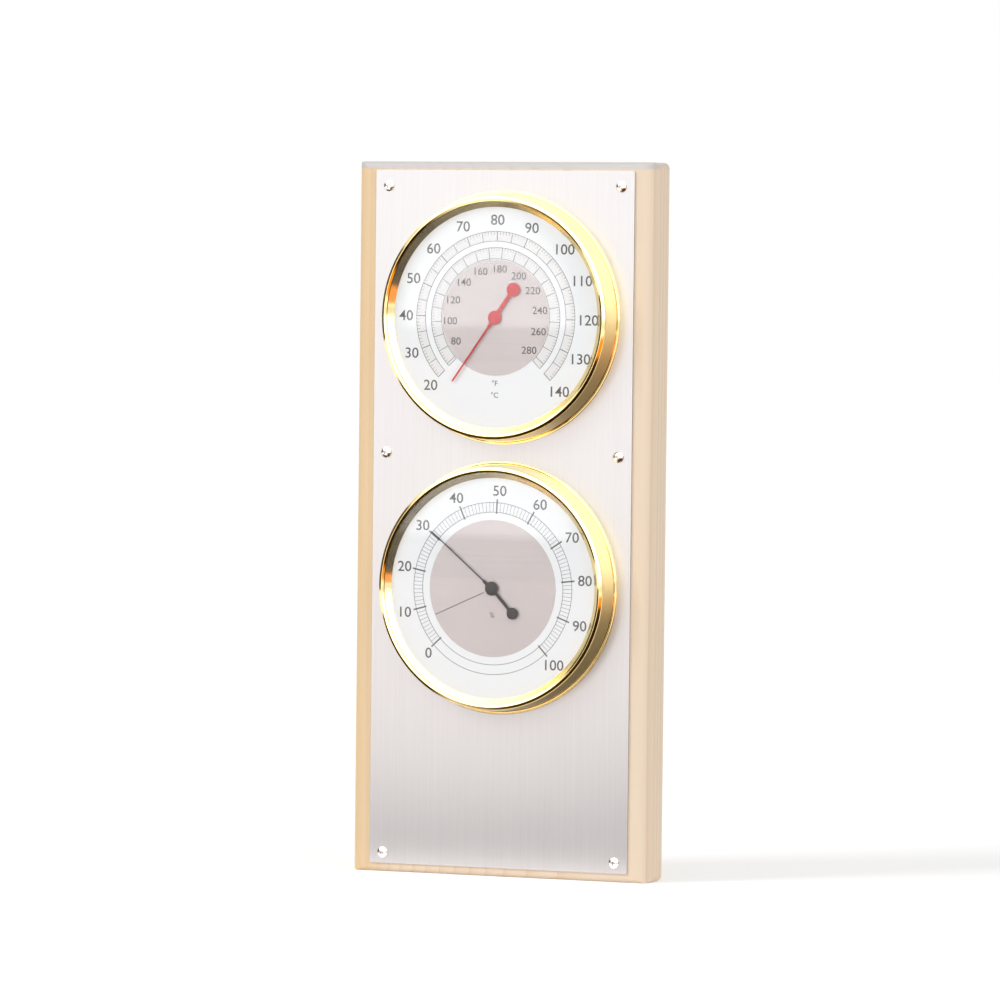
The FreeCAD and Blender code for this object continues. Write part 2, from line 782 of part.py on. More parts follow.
def write(name, shape):
    """Write one piece to its own file, as solids only."""
    solids = shape.Solids
    whole = solids[0] if len(solids) == 1 else Part.makeCompound(solids)
    if not whole.isValid():
        print("not valid:", name)
    whole.exportStep("parts/" + name + ".step")


os.makedirs("parts", exist_ok=True)
write("back_board", facing_front(back_board()))
write("face_plate", facing_front(face_plate()))
write("plate_screws", facing_front(plate_screws()))
write("hanger_plate", facing_front(hanger_plate()))
write("hanger_screws", facing_front(hanger_screws()))
for kind, height in (("thermometer", thermometer_height), ("hygrometer", hygrometer_height)):
    for piece, shape in gauge_pieces(kind).items():
        write(kind + "_" + piece, on_gauge(shape, height))
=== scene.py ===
# Wall thermo-hygrometer: finishes, printed dials, trim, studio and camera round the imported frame.
# Metres, in the frame's own axes: the front looks towards -Y, +Z is up, the wall is at y = 0.
import math

import bpy
from mathutils import Matrix, Vector


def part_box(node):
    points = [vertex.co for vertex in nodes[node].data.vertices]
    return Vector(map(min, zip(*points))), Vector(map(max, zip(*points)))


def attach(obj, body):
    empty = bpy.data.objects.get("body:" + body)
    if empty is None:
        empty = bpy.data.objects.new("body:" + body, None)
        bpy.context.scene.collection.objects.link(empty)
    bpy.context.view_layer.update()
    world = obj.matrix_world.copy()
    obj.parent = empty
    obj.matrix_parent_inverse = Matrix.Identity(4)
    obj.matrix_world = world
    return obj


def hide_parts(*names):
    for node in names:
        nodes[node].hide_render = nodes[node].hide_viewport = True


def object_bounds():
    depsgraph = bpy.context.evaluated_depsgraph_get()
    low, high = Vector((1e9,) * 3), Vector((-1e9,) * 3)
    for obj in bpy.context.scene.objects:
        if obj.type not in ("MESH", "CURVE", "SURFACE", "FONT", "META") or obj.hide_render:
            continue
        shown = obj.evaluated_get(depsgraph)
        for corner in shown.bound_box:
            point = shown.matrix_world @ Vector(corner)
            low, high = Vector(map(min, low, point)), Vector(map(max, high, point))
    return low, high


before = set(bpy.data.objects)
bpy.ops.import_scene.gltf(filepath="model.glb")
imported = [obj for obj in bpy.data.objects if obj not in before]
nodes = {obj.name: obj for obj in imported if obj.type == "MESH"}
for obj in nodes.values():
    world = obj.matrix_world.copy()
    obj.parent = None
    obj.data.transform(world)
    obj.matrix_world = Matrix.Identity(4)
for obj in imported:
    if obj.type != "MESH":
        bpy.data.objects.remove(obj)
cadLow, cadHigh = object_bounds()
mm = 0.001

plateLow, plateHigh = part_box("face_plate")
plateFront = plateLow.y
print("frame loaded:", len(nodes), "nodes")


# Small helpers for working by hand in the viewport

weldDistances = {
    "solid": 0.001 * mm,
    "spun": 0.002 * mm,  # closes the seam of a full turn
    "ink": 0.0002 * mm,
}


def deselectAll():
    if bpy.context.object and bpy.context.object.mode != "OBJECT":
        objectMode()
    bpy.ops.object.select_all(action="DESELECT")


def selectOnly(*pieces):
    deselectAll()
    for piece in pieces:
        piece.select_set(True)
    bpy.context.view_layer.objects.active = pieces[0]


def editMode(piece, select="SELECT"):
    selectOnly(piece)
    bpy.ops.object.mode_set(mode="EDIT")
    bpy.ops.mesh.select_mode(type="VERT")
    bpy.ops.mesh.select_all(action=select)


def objectMode():
    bpy.ops.object.mode_set(mode="OBJECT")


def applyPlace(piece):
    selectOnly(piece)
    bpy.ops.object.transform_apply(location=True, rotation=True, scale=True)


def applyModifier(piece, kind, **values):
    selectOnly(piece)
    modifier = piece.modifiers.new(kind.title(), kind)
    for key, value in values.items():
        setattr(modifier, key, value)
    bpy.ops.object.modifier_apply(modifier=modifier.name)


def weldAll(weld):
    # merges doubles and turns the normals outward, in edit mode
    bpy.ops.mesh.select_all(action="SELECT")
    bpy.ops.mesh.remove_doubles(threshold=weldDistances[weld])
    bpy.ops.mesh.normals_make_consistent(inside=False)
    objectMode()


def cleanUp(piece, weld="solid"):
    editMode(piece)
    weldAll(weld)


def softenEdges(piece, width, angle):
    # small bevels on the edges sharper than an angle in degrees
    applyModifier(piece, "BEVEL", width=width * mm, segments=2, limit_method="ANGLE",
                  angle_limit=math.radians(angle))


def cutWith(piece, cutter, operation="DIFFERENCE"):
    applyModifier(piece, "BOOLEAN", object=cutter, operation=operation, solver="EXACT")
    bpy.data.objects.remove(cutter)


def joined(pieces):
    selectOnly(*pieces)
    if len(pieces) > 1:
        bpy.ops.object.join()
    return bpy.context.object


def copyOf(piece, matrix):
    twin = piece.copy()
    twin.data = piece.data.copy()
    bpy.context.scene.collection.objects.link(twin)
    twin.matrix_world = matrix @ piece.matrix_world
    return twin


def keep(piece, name, material, body, stands=(), smooth=30, weighted=False):
    # last steps of every new piece: place applied, shading, material, and what it rides on
    applyPlace(piece)
    piece.name = piece.data.name = name
    piece.data.materials.clear()
    piece.data.materials.append(material)
    bpy.ops.object.shade_smooth_by_angle(angle=math.radians(smooth))
    if weighted:
        applyModifier(piece, "WEIGHTED_NORMAL", keep_sharp=True)
    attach(piece, body)
    if stands:
        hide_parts(*stands)
    print("piece:", name, len(piece.data.polygons), "faces")


# Places on the gauges

class Gauge:
    # one of the two instruments: where its axis is and how high its sheets stand
    def __init__(self, kind):
        self.kind = kind
        dialLow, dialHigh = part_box(kind + "_dial")
        self.centreZ = (dialLow.z + dialHigh.z) / 2
        self.dialFace = dialLow.y
        self.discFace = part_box(kind + "_dial_centre")[0].y
        self.body = kind + "_hand"

    def at(self, radius, y, degrees=0):
        # a point on this gauge, degrees clockwise from straight up as seen from the front
        turn = math.radians(degrees)
        return Vector((radius * math.sin(turn), y, self.centreZ + radius * math.cos(turn)))

    def turned(self, degrees):
        # matrix that turns a piece clockwise about the gauge's axis
        centre = Vector((0, 0, self.centreZ))
        turn = Matrix.Rotation(math.radians(degrees), 4, "Y")
        return Matrix.Translation(centre) @ turn @ Matrix.Translation(-centre)


thermometer = Gauge("thermometer")
hygrometer = Gauge("hygrometer")
gauges = (thermometer, hygrometer)


def spun(gauge, profile, steps, closed=True, centre=None):
    # a profile of (radius, height above the plate) in mm, walked vertex by vertex and spun round the axis
    middle = centre or Vector((0, 0, gauge.centreZ))
    startRadius, startHeight = profile[0]
    start = middle + Vector((startRadius * mm, plateFront - startHeight * mm, 0))
    deselectAll()
    bpy.ops.mesh.primitive_plane_add(size=mm, location=start)
    piece = bpy.context.object
    editMode(piece)
    bpy.ops.mesh.merge(type="CENTER")
    walk = profile[1:] + (profile[:1] if closed else [])
    lastRadius, lastHeight = startRadius, startHeight
    for radius, height in walk:
        step = ((radius - lastRadius) * mm, -(height - lastHeight) * mm, 0)
        bpy.ops.mesh.extrude_vertices_move(TRANSFORM_OT_translate={"value": step})
        lastRadius, lastHeight = radius, height
    bpy.ops.mesh.select_all(action="SELECT")
    bpy.ops.mesh.spin(steps=steps, angle=math.tau, center=middle, axis=(0, 1, 0))
    weldAll("spun")
    return piece


def arcPoints(centreRadius, centreHeight, radius, first, last, count):
    # points of a rounded corner in a profile, angles in degrees from the outward radius towards the front
    points = []
    for index in range(count + 1):
        turn = math.radians(first + (last - first) * index / count)
        points.append((centreRadius + radius * math.cos(turn), centreHeight + radius * math.sin(turn)))
    return points


def domePoints(radius, topHeight, rise, count):
    # a dome's profile from its edge to the axis
    domeRadius = (radius ** 2 + rise ** 2) / (2 * rise)
    halfAngle = math.degrees(math.asin(radius / domeRadius))
    return arcPoints(0, topHeight - domeRadius, domeRadius, 90 - halfAngle, 90, count)


# Shader groups shared by the finishes

noiseMiddle = 0.5
brushedPattern = {
    "coarseShare": 0.6,
    "fineShare": 0.4,
    "fineScale": 3.7,
    "patchScale": 22.0,
}
softwoodPattern = {
    "wobbleStretch": (14, 14, 2.2),  # slow along the board
    "fibreStretch": (2600, 2600, 70),
    "lateSharpness": 3.0,
    "lateShare": 0.6,
    "fibreShare": 0.4,
    "lateLift": 0.35,
    "frontShare": 0.35,  # tones are full in front, weak on the ends, none behind
    # slopes of the painted shade along the top edge and of the painted warm light on the left edge
    "paintedTopShadeSlope": 900.0,
    "paintedWarmLightSlope": 60.0,
}
wearAndLightPattern = {
    "samples": 4,
    "edgeGain": 4.0,
    "breakupGain": 1.6,
}


def newGroup(name, inputs, outputs=("Mask", "Height")):
    group = bpy.data.node_groups.new(name, "ShaderNodeTree")
    for label, kind, value in inputs:
        socket = group.interface.new_socket(label, in_out="INPUT", socket_type=kind)
        socket.default_value = value
    for label in outputs:
        group.interface.new_socket(label, in_out="OUTPUT", socket_type="NodeSocketFloat")
    source = group.nodes.new("NodeGroupInput")
    sink = group.nodes.new("NodeGroupOutput")
    return group, source, sink


def mathNode(group, operation, first, second=0.0, clamp=False):
    node = group.nodes.new("ShaderNodeMath")
    node.operation = operation
    node.use_clamp = clamp
    for socket, value in zip(node.inputs, (first, second)):
        if isinstance(value, (int, float)):
            socket.default_value = value
        else:
            group.links.new(value, socket)
    return node.outputs[0]


def blended(group, first, firstShare, second, secondShare, clamp=False):
    # the sum of two values, each multiplied by its share
    parts = (mathNode(group, "MULTIPLY", first, firstShare), mathNode(group, "MULTIPLY", second, secondShare))
    return mathNode(group, "ADD", *parts, clamp)


def vectorNode(group, operation, first, second):
    node = group.nodes.new("ShaderNodeVectorMath")
    node.operation = operation
    for socket, value in zip(node.inputs, (first, second)):
        if isinstance(value, tuple):
            socket.default_value = value
        else:
            group.links.new(value, socket)
    return node


def separated(group, vector):
    node = group.nodes.new("ShaderNodeSeparateXYZ")
    group.links.new(vector, node.inputs[0])
    return node.outputs


def noise(group, vector, scale, detail, roughness, distortion=0.0):
    node = group.nodes.new("ShaderNodeTexNoise")
    node.inputs["Detail"].default_value = detail
    node.inputs["Roughness"].default_value = roughness
    node.inputs["Distortion"].default_value = distortion
    if isinstance(scale, (int, float)):
        node.inputs["Scale"].default_value = scale
    else:
        group.links.new(scale, node.inputs["Scale"])
    group.links.new(vector, node.inputs["Vector"])
    return node.outputs["Fac"]


def objectPlace(group):
    return group.nodes.new("ShaderNodeTexCoord").outputs["Object"]


def buildBrushedLines(pattern):
    # long fine lines along the axis whose stretch is small, with broad uneven patches
    group, source, sink = newGroup("brushedLines", (
        ("Stretch", "NodeSocketVector", (900, 900, 12)),
        ("Patches", "NodeSocketFloat", 0.25),
    ))
    place = objectPlace(group)
    vector = vectorNode(group, "MULTIPLY", place, source.outputs["Stretch"]).outputs[0]
    coarse = noise(group, vector, 1.0, detail=3, roughness=0.6)
    fine = noise(group, vector, pattern["fineScale"], detail=2, roughness=0.5)
    lines = blended(group, coarse, pattern["coarseShare"], fine, pattern["fineShare"])
    broad = noise(group, place, pattern["patchScale"], detail=3, roughness=0.55)
    uneven = mathNode(group, "SUBTRACT", broad, noiseMiddle)
    patches = mathNode(group, "MULTIPLY", uneven, source.outputs["Patches"])
    mask = mathNode(group, "ADD", lines, patches, clamp=True)
    group.links.new(mask, sink.inputs["Mask"])
    group.links.new(lines, sink.inputs["Height"])
    return group


def buildSpeckle():
    # fine orange-peel or cast texture with soft clouds
    group, source, sink = newGroup("fineSpeckle", (
        ("Grain", "NodeSocketFloat", 2500.0),
        ("Clouds", "NodeSocketFloat", 30.0),
        ("Cloud Share", "NodeSocketFloat", 0.6),
    ))
    place = objectPlace(group)
    grain = noise(group, place, source.outputs["Grain"], detail=2, roughness=0.6)
    clouds = noise(group, place, source.outputs["Clouds"], detail=4, roughness=0.55, distortion=0.4)
    difference = mathNode(group, "SUBTRACT", clouds, grain)
    shift = mathNode(group, "MULTIPLY", difference, source.outputs["Cloud Share"])
    mask = mathNode(group, "ADD", grain, shift, clamp=True)
    group.links.new(mask, sink.inputs["Mask"])
    group.links.new(grain, sink.inputs["Height"])
    return group


def buildSoftwood(pattern):
    # straight grain along Z: growth rings about a distant heart, pores drawn out along the board; also two
    # painted light tones
    group, source, sink = newGroup("softwoodGrainAndPaintedLight", (
        ("Heart", "NodeSocketVector", (0.05, 0.12, 0.0)),
        ("Rings", "NodeSocketFloat", 330.0),
        ("Wobble", "NodeSocketFloat", 0.004),
        ("Top", "NodeSocketFloat", 0.1412),
        ("Left", "NodeSocketFloat", 0.046),
    ), ("Mask", "Height", "PaintedTopShade", "PaintedWarmLight"))
    place = objectPlace(group)
    slow = vectorNode(group, "MULTIPLY", place, pattern["wobbleStretch"]).outputs[0]
    waver = mathNode(group, "SUBTRACT", noise(group, slow, 1.0, detail=3, roughness=0.5), noiseMiddle)
    wobble = mathNode(group, "MULTIPLY", waver, source.outputs["Wobble"])
    fromHeart = separated(group, vectorNode(group, "SUBTRACT", place, source.outputs["Heart"]).outputs[0])
    square = blended(group, fromHeart[0], fromHeart[0], fromHeart[1], fromHeart[1])
    distance = mathNode(group, "ADD", mathNode(group, "SQRT", square), wobble)
    phase = mathNode(group, "FRACT", mathNode(group, "MULTIPLY", distance, source.outputs["Rings"]))
    late = mathNode(group, "POWER", phase, pattern["lateSharpness"])
    drawnOut = vectorNode(group, "MULTIPLY", place, pattern["fibreStretch"]).outputs[0]
    fibre = noise(group, drawnOut, 1.0, detail=3, roughness=0.6)
    mask = blended(group, late, pattern["lateShare"], fibre, pattern["fibreShare"], clamp=True)
    group.links.new(mask, sink.inputs["Mask"])
    height = mathNode(group, "ADD", mathNode(group, "MULTIPLY", late, pattern["lateLift"]), fibre)
    group.links.new(height, sink.inputs["Height"])
    # painted shade: a grey band along the front of the board's top edge, weaker on the top end; painted warm
    # light on the front of the board's left edge
    along = separated(group, place)
    normal = separated(group, group.nodes.new("ShaderNodeNewGeometry").outputs["Normal"])
    fronts = mathNode(group, "SUBTRACT", pattern["frontShare"], normal[1], clamp=True)
    beyond = mathNode(group, "SUBTRACT", along[2], source.outputs["Top"])
    paintedTopShade = mathNode(group, "MULTIPLY", beyond, pattern["paintedTopShadeSlope"], clamp=True)
    group.links.new(mathNode(group, "MULTIPLY", paintedTopShade, fronts), sink.inputs["PaintedTopShade"])
    leftwards = mathNode(group, "MULTIPLY", along[0], -1.0)
    outside = mathNode(group, "SUBTRACT", leftwards, source.outputs["Left"])
    paintedWarmLight = mathNode(group, "MULTIPLY", outside, pattern["paintedWarmLightSlope"], clamp=True)
    group.links.new(mathNode(group, "MULTIPLY", paintedWarmLight, fronts), sink.inputs["PaintedWarmLight"])
    return group


def buildEdgeWear(pattern):
    # 1 on sharp outer and inner edges, broken up by noise: edge wear and painted edge light, a painted
    # highlight where the edge colour is lighter, painted shade where it is darker
    group, source, sink = newGroup("edgeWearAndPaintedLight", (
        ("Width", "NodeSocketFloat", 0.0004),
        ("Breakup", "NodeSocketFloat", 400.0),
    ), ("Mask",))
    bevel = group.nodes.new("ShaderNodeBevel")
    bevel.samples = pattern["samples"]
    group.links.new(source.outputs["Width"], bevel.inputs["Radius"])
    geometry = group.nodes.new("ShaderNodeNewGeometry")
    likeness = vectorNode(group, "DOT_PRODUCT", bevel.outputs[0], geometry.outputs["Normal"]).outputs["Value"]
    turnedAway = mathNode(group, "SUBTRACT", 1.0, likeness, clamp=True)
    edge = mathNode(group, "MULTIPLY", turnedAway, pattern["edgeGain"], clamp=True)
    broken = noise(group, objectPlace(group), source.outputs["Breakup"], detail=3, roughness=0.6)
    broken = mathNode(group, "MULTIPLY", broken, pattern["breakupGain"], clamp=True)
    mask = mathNode(group, "MULTIPLY", edge, broken, clamp=True)
    group.links.new(mask, sink.inputs["Mask"])
    return group


brushedLines = buildBrushedLines(brushedPattern)
fineSpeckle = buildSpeckle()
softwoodGrainAndPaintedLight = buildSoftwood(softwoodPattern)
edgeWearAndPaintedLight = buildEdgeWear(wearAndLightPattern)
print("shader groups built")


def linear(color):
    # a colour picked as 0-255 screen values, as the linear numbers that a socket takes
    values = []
    for channel in color:
        share = channel / 255
        values.append(share / 12.92 if share <= 0.04045 else ((share + 0.055) / 1.055) ** 2.4)
    return (*values, 1.0)


def colorMix(tree, amount, first, second):
    # a colour node that goes from the first colour to the second, each a socket or screen values
    mix = tree.nodes.new("ShaderNodeMix")
    mix.data_type = "RGBA"
    tree.links.new(amount, mix.inputs["Factor"])
    for label, color in (("A", first), ("B", second)):
        if isinstance(color, tuple):
            mix.inputs[label].default_value = linear(color)
        else:
            tree.links.new(color, mix.inputs[label])
    return mix.outputs["Result"]


def finish(name, pattern, colors, roughness, bump, metallic=0.0, wearAndPaintedLight=None, tones=None,
           patternValues=None, **values):
    # a material: a pattern group mixes two colours and two roughnesses and lifts the surface a little
    material = bpy.data.materials.new(name)
    material.use_nodes = True
    tree = material.node_tree
    shader = tree.nodes["Principled BSDF"]
    source = tree.nodes.new("ShaderNodeGroup")
    source.node_tree = pattern
    for label, value in (patternValues or {}).items():
        source.inputs[label].default_value = value
    tint = colorMix(tree, source.outputs["Mask"], *colors)
    for label, (color, share) in (tones or {}).items():
        tint = colorMix(tree, mathNode(tree, "MULTIPLY", source.outputs[label], share), tint, color)
    # edges take the edge colour: partly wear, partly a painted edge highlight, or painted shade where the
    # colour is darker
    if wearAndPaintedLight:
        color, width, share = wearAndPaintedLight
        edges = tree.nodes.new("ShaderNodeGroup")
        edges.node_tree = edgeWearAndPaintedLight
        edges.inputs["Width"].default_value = width * mm
        tint = colorMix(tree, mathNode(tree, "MULTIPLY", edges.outputs["Mask"], share), tint, color)
    tree.links.new(tint, shader.inputs["Base Color"])
    gloss = tree.nodes.new("ShaderNodeMapRange")
    gloss.inputs["To Min"].default_value, gloss.inputs["To Max"].default_value = roughness
    tree.links.new(source.outputs["Mask"], gloss.inputs["Value"])
    tree.links.new(gloss.outputs["Result"], shader.inputs["Roughness"])
    strength, depth = bump
    lift = tree.nodes.new("ShaderNodeBump")
    lift.inputs["Strength"].default_value = strength
    lift.inputs["Distance"].default_value = depth * mm
    tree.links.new(source.outputs["Height"], lift.inputs["Height"])
    tree.links.new(lift.outputs["Normal"], shader.inputs["Normal"])
    shader.inputs["Metallic"].default_value = metallic
    for label, value in values.items():
        shader.inputs[label.replace("_", " ")].default_value = value
    return material


# Finishes: colours are screen values, bump is (strength, depth in mm), wear and painted edge light is
# (colour, width in mm, share), and tones are (colour, share) for the pattern's other masks, on the board
# painted light

# painted light on the board: a warm glow on its left edge and a grey painted shade along the front of its top
# edge
paleWood = finish(
    "paleWood", softwoodGrainAndPaintedLight, colors=((246, 226, 202), (232, 204, 172)), roughness=(0.5, 0.66),
    bump=(0.35, 0.12), wearAndPaintedLight=((247, 228, 204), 0.8, 0.5), Specular_IOR_Level=0.3,
    tones={"PaintedWarmLight": ((240, 204, 150), 0.75), "PaintedTopShade": ((206, 205, 207), 0.9)})
brushedSteel = finish(
    "brushedSteel", brushedLines, colors=((182, 181, 181), (202, 201, 201)), roughness=(0.28, 0.42),
    bump=(0.2, 0.012), metallic=0.8, patternValues={"Stretch": (2400, 2400, 16), "Patches": 0.35})
# painted shade: darker edges round the rim and in the cross recess of the screw heads
platedScrew = finish(
    "platedScrew", fineSpeckle, colors=((214, 212, 210), (236, 235, 234)), roughness=(0.12, 0.28),
    bump=(0.1, 0.01), metallic=1.0, wearAndPaintedLight=((120, 112, 104), 0.25, 0.6))
zincScrew = finish(
    "zincScrew", fineSpeckle, colors=((168, 170, 172), (206, 206, 203)), roughness=(0.32, 0.5),
    bump=(0.2, 0.02), metallic=1.0, wearAndPaintedLight=((226, 225, 220), 0.2, 0.6))
zincSheet = finish(
    "zincSheet", fineSpeckle, colors=((176, 178, 180), (212, 212, 208)), roughness=(0.3, 0.5),
    bump=(0.2, 0.02), metallic=1.0, wearAndPaintedLight=((232, 231, 226), 0.35, 0.7),
    patternValues={"Grain": 900.0, "Clouds": 120.0})
drawnSheet = finish(
    "drawnSheet", fineSpeckle, colors=((178, 178, 180), (214, 213, 212)), roughness=(0.34, 0.52),
    bump=(0.15, 0.02), metallic=1.0, wearAndPaintedLight=((232, 231, 230), 0.4, 0.6), patternValues={"Clouds": 60.0})
turnedBrass = finish(
    "turnedBrass", fineSpeckle, colors=((178, 142, 74), (220, 186, 108)), roughness=(0.22, 0.4),
    bump=(0.15, 0.015), metallic=1.0, wearAndPaintedLight=((240, 214, 150), 0.3, 0.7),
    patternValues={"Grain": 1800.0, "Clouds": 160.0})
arborSteel = finish(
    "arborSteel", brushedLines, colors=((150, 150, 153), (206, 206, 206)), roughness=(0.18, 0.34),
    bump=(0.2, 0.01), metallic=1.0, patternValues={"Stretch": (600, 9000, 600), "Patches": 0.2})
bimetalStrip = finish(
    "bimetalStrip", brushedLines, colors=((158, 146, 132), (200, 190, 176)), roughness=(0.26, 0.44),
    bump=(0.2, 0.01), metallic=1.0, patternValues={"Stretch": (300, 5000, 300), "Patches": 0.5})
moistureStrip = finish(
    "moistureStrip", brushedLines, colors=((196, 180, 148), (222, 209, 182)), roughness=(0.55, 0.75),
    bump=(0.3, 0.03), patternValues={"Stretch": (900, 4000, 900), "Patches": 0.6})
whiteLacquer = finish(
    "whiteLacquer", fineSpeckle, colors=((236, 237, 239), (243, 244, 246)), roughness=(0.3, 0.42),
    bump=(0.08, 0.01), Coat_Weight=0.15, Coat_Roughness=0.2)
brushedDisc = finish(
    "brushedDisc", brushedLines, colors=((163, 154, 153), (193, 184, 183)), roughness=(0.34, 0.5),
    bump=(0.3, 0.012), metallic=0.35, patternValues={"Stretch": (14, 2600, 2600), "Patches": 0.6})
polishedGilt = finish(
    "polishedGilt", fineSpeckle, colors=((239, 213, 146), (247, 228, 170)), roughness=(0.05, 0.13),
    bump=(0.06, 0.01), metallic=1.0, patternValues={"Grain": 1200.0, "Clouds": 45.0})
redLacquer = finish(
    "redLacquer", fineSpeckle, colors=((196, 8, 16), (214, 16, 24)), roughness=(0.28, 0.4),
    bump=(0.12, 0.015), wearAndPaintedLight=((232, 80, 80), 0.2, 0.3), Specular_IOR_Level=0.25)
blackLacquer = finish(
    "blackLacquer", fineSpeckle, colors=((13, 9, 9), (23, 16, 15)), roughness=(0.26, 0.4),
    bump=(0.12, 0.015), wearAndPaintedLight=((70, 60, 57), 0.2, 0.3), Specular_IOR_Level=0.25)
# scale ink, also used for the painted shade strip in the hygrometer disc's slit
scaleInkAndSlitShade = finish(
    "scaleInkAndSlitShade", fineSpeckle, colors=((66, 60, 60), (88, 82, 82)), roughness=(0.5, 0.65), bump=(0.1, 0.01))
figureInk = finish(
    "figureInk", fineSpeckle, colors=((52, 45, 45), (72, 64, 64)), roughness=(0.5, 0.65), bump=(0.1, 0.01))
bandInk = finish(
    "bandInk", fineSpeckle, colors=((226, 224, 224), (234, 232, 232)), roughness=(0.5, 0.62),
    bump=(0.08, 0.01))
clearPane = finish(
    "clearPane", fineSpeckle, colors=((252, 254, 254), (255, 255, 255)), roughness=(0.0, 0.02),
    bump=(0.0, 0.001), Transmission_Weight=1.0, IOR=1.33)
print("finishes built")


# Camera at the photographed angle

cameraPlace = {
    "azimuth": 23.48,  # degrees, towards +X from the front
    "elevation": 1.86,
    "roll": 0.626,
    "distance": 2.778,  # metres from the plate's middle
    "lens": 247.644,  # mm
    "sensorWidth": 36.0,
    "clipEnd": 60.0,  # metres, beyond the floor's far edge
    "aimUp": 0.0080,
    "aimRight": -0.00044,
}


def towards(azimuth, elevation):
    # unit vector from the object, azimuth towards +X from the front
    az, el = math.radians(azimuth), math.radians(elevation)
    return Vector((math.sin(az) * math.cos(el), -math.cos(az) * math.cos(el), math.sin(el)))


def makeCamera(place):
    back = towards(place["azimuth"], place["elevation"])
    azimuth, roll = math.radians(place["azimuth"]), math.radians(place["roll"])
    right = Vector((math.cos(azimuth), math.sin(azimuth), 0))
    up = back.cross(right)
    aim = Vector((0, plateFront, 0)) + up * place["aimUp"] + right * place["aimRight"]
    axisX = math.cos(roll) * right + math.sin(roll) * up
    axisY = back.cross(axisX)
    turn = Matrix((axisX, axisY, back)).transposed().to_4x4()
    data = bpy.data.cameras.new("photoView")
    data.lens = place["lens"]
    data.sensor_width = place["sensorWidth"]
    data.clip_end = place["clipEnd"]
    camera = bpy.data.objects.new("photoView", data)
    bpy.context.scene.collection.objects.link(camera)
    camera.matrix_world = Matrix.Translation(aim + back * place["distance"]) @ turn
    bpy.context.scene.camera = camera


makeCamera(cameraPlace)
print("camera set")


# Face plate: sheet with two gauge holes and six screw holes, softened edges

facePlate = {
    "cornerRound": 0.8,  # mm
    "cornerSteps": 6,
    "holeRadius": 48.3,
    "holeSides": 160,
    "screwHoleRadius": 1.4,
    "screwHoleSides": 24,
    "cutDepth": 10.0,
    "edgeRound": 0.12,
    "edgeAngle": 50,  # degrees
    "screwRows": (-0.05, 0.08),  # metres up from the middle, between the rows of screws
}
facingFront = (math.pi / 2, 0, 0)  # turns a cylinder's or text's axis to Y


def screwPlaces(rows):
    # centres of the six plate screws, read from the solids of the frame's node
    lowest, highest = rows
    places = {}
    for vertex in nodes["plate_screws"].data.vertices:
        column = vertex.co.x > 0
        row = (vertex.co.z > lowest) + (vertex.co.z > highest)
        low, high = places.setdefault((column, row), (Vector(vertex.co), Vector(vertex.co)))
        for axis in range(3):
            low[axis] = min(low[axis], vertex.co[axis])
            high[axis] = max(high[axis], vertex.co[axis])
    return [Vector(((low.x + high.x) / 2, plateFront, (low.z + high.z) / 2)) for low, high in places.values()]


def makeFacePlate(size):
    deselectAll()
    middle = (plateLow + plateHigh) / 2
    bpy.ops.mesh.primitive_cube_add(size=1, location=middle, scale=plateHigh - plateLow)
    plate = bpy.context.object
    applyPlace(plate)
    editMode(plate, "DESELECT")
    bpy.ops.mesh.select_mode(type="EDGE")
    objectMode()
    for edge in plate.data.edges:  # the four corners that run through the sheet
        first, second = (plate.data.vertices[index].co for index in edge.vertices)
        edge.select = abs(first.y - second.y) > (plateHigh.y - plateLow.y) / 2
    bpy.ops.object.mode_set(mode="EDIT")
    bpy.ops.mesh.bevel(offset=size["cornerRound"] * mm, segments=size["cornerSteps"], affect="EDGES")
    objectMode()
    gaugeHole = (size["holeRadius"], size["holeSides"])
    screwHole = (size["screwHoleRadius"], size["screwHoleSides"])
    holes = [(Vector((0, middle.y, gauge.centreZ)), *gaugeHole) for gauge in gauges]
    holes += [(place, *screwHole) for place in screwPlaces(size["screwRows"])]
    for place, radius, sides in holes:
        deselectAll()
        bpy.ops.mesh.primitive_cylinder_add(vertices=sides, radius=radius * mm, depth=size["cutDepth"] * mm,
                                            location=place, rotation=facingFront)
        cutWith(plate, bpy.context.object)
    cleanUp(plate)
    softenEdges(plate, size["edgeRound"], size["edgeAngle"])
    keep(plate, "facePlateSheet", brushedSteel, "root", ("face_plate",), weighted=True)


makeFacePlate(facePlate)


# Plate screws: domed heads with a cross recess, one modelled and copied

plateScrew = {
    "headRadius": 2.25,  # mm
    "headHeight": 1.25,
    "rimHeight": 0.28,
    "rimEdge": (0.12, 0.1),  # inward and up, where the rim meets the plate
    "shankRadius": 1.1,
    "shankLength": 10.0,
    "crossLength": 2.5,
    "crossWidth": 0.5,
    "crossDepth": 0.75,
    "crossFloorShare": 0.45,  # of the recess's width and length at its mouth
    "domeSteps": 10,
    "steps": 40,
    "turns": (12, 58, 31, 74, 40, 5),  # degrees, each screw stopped where it was tight
}


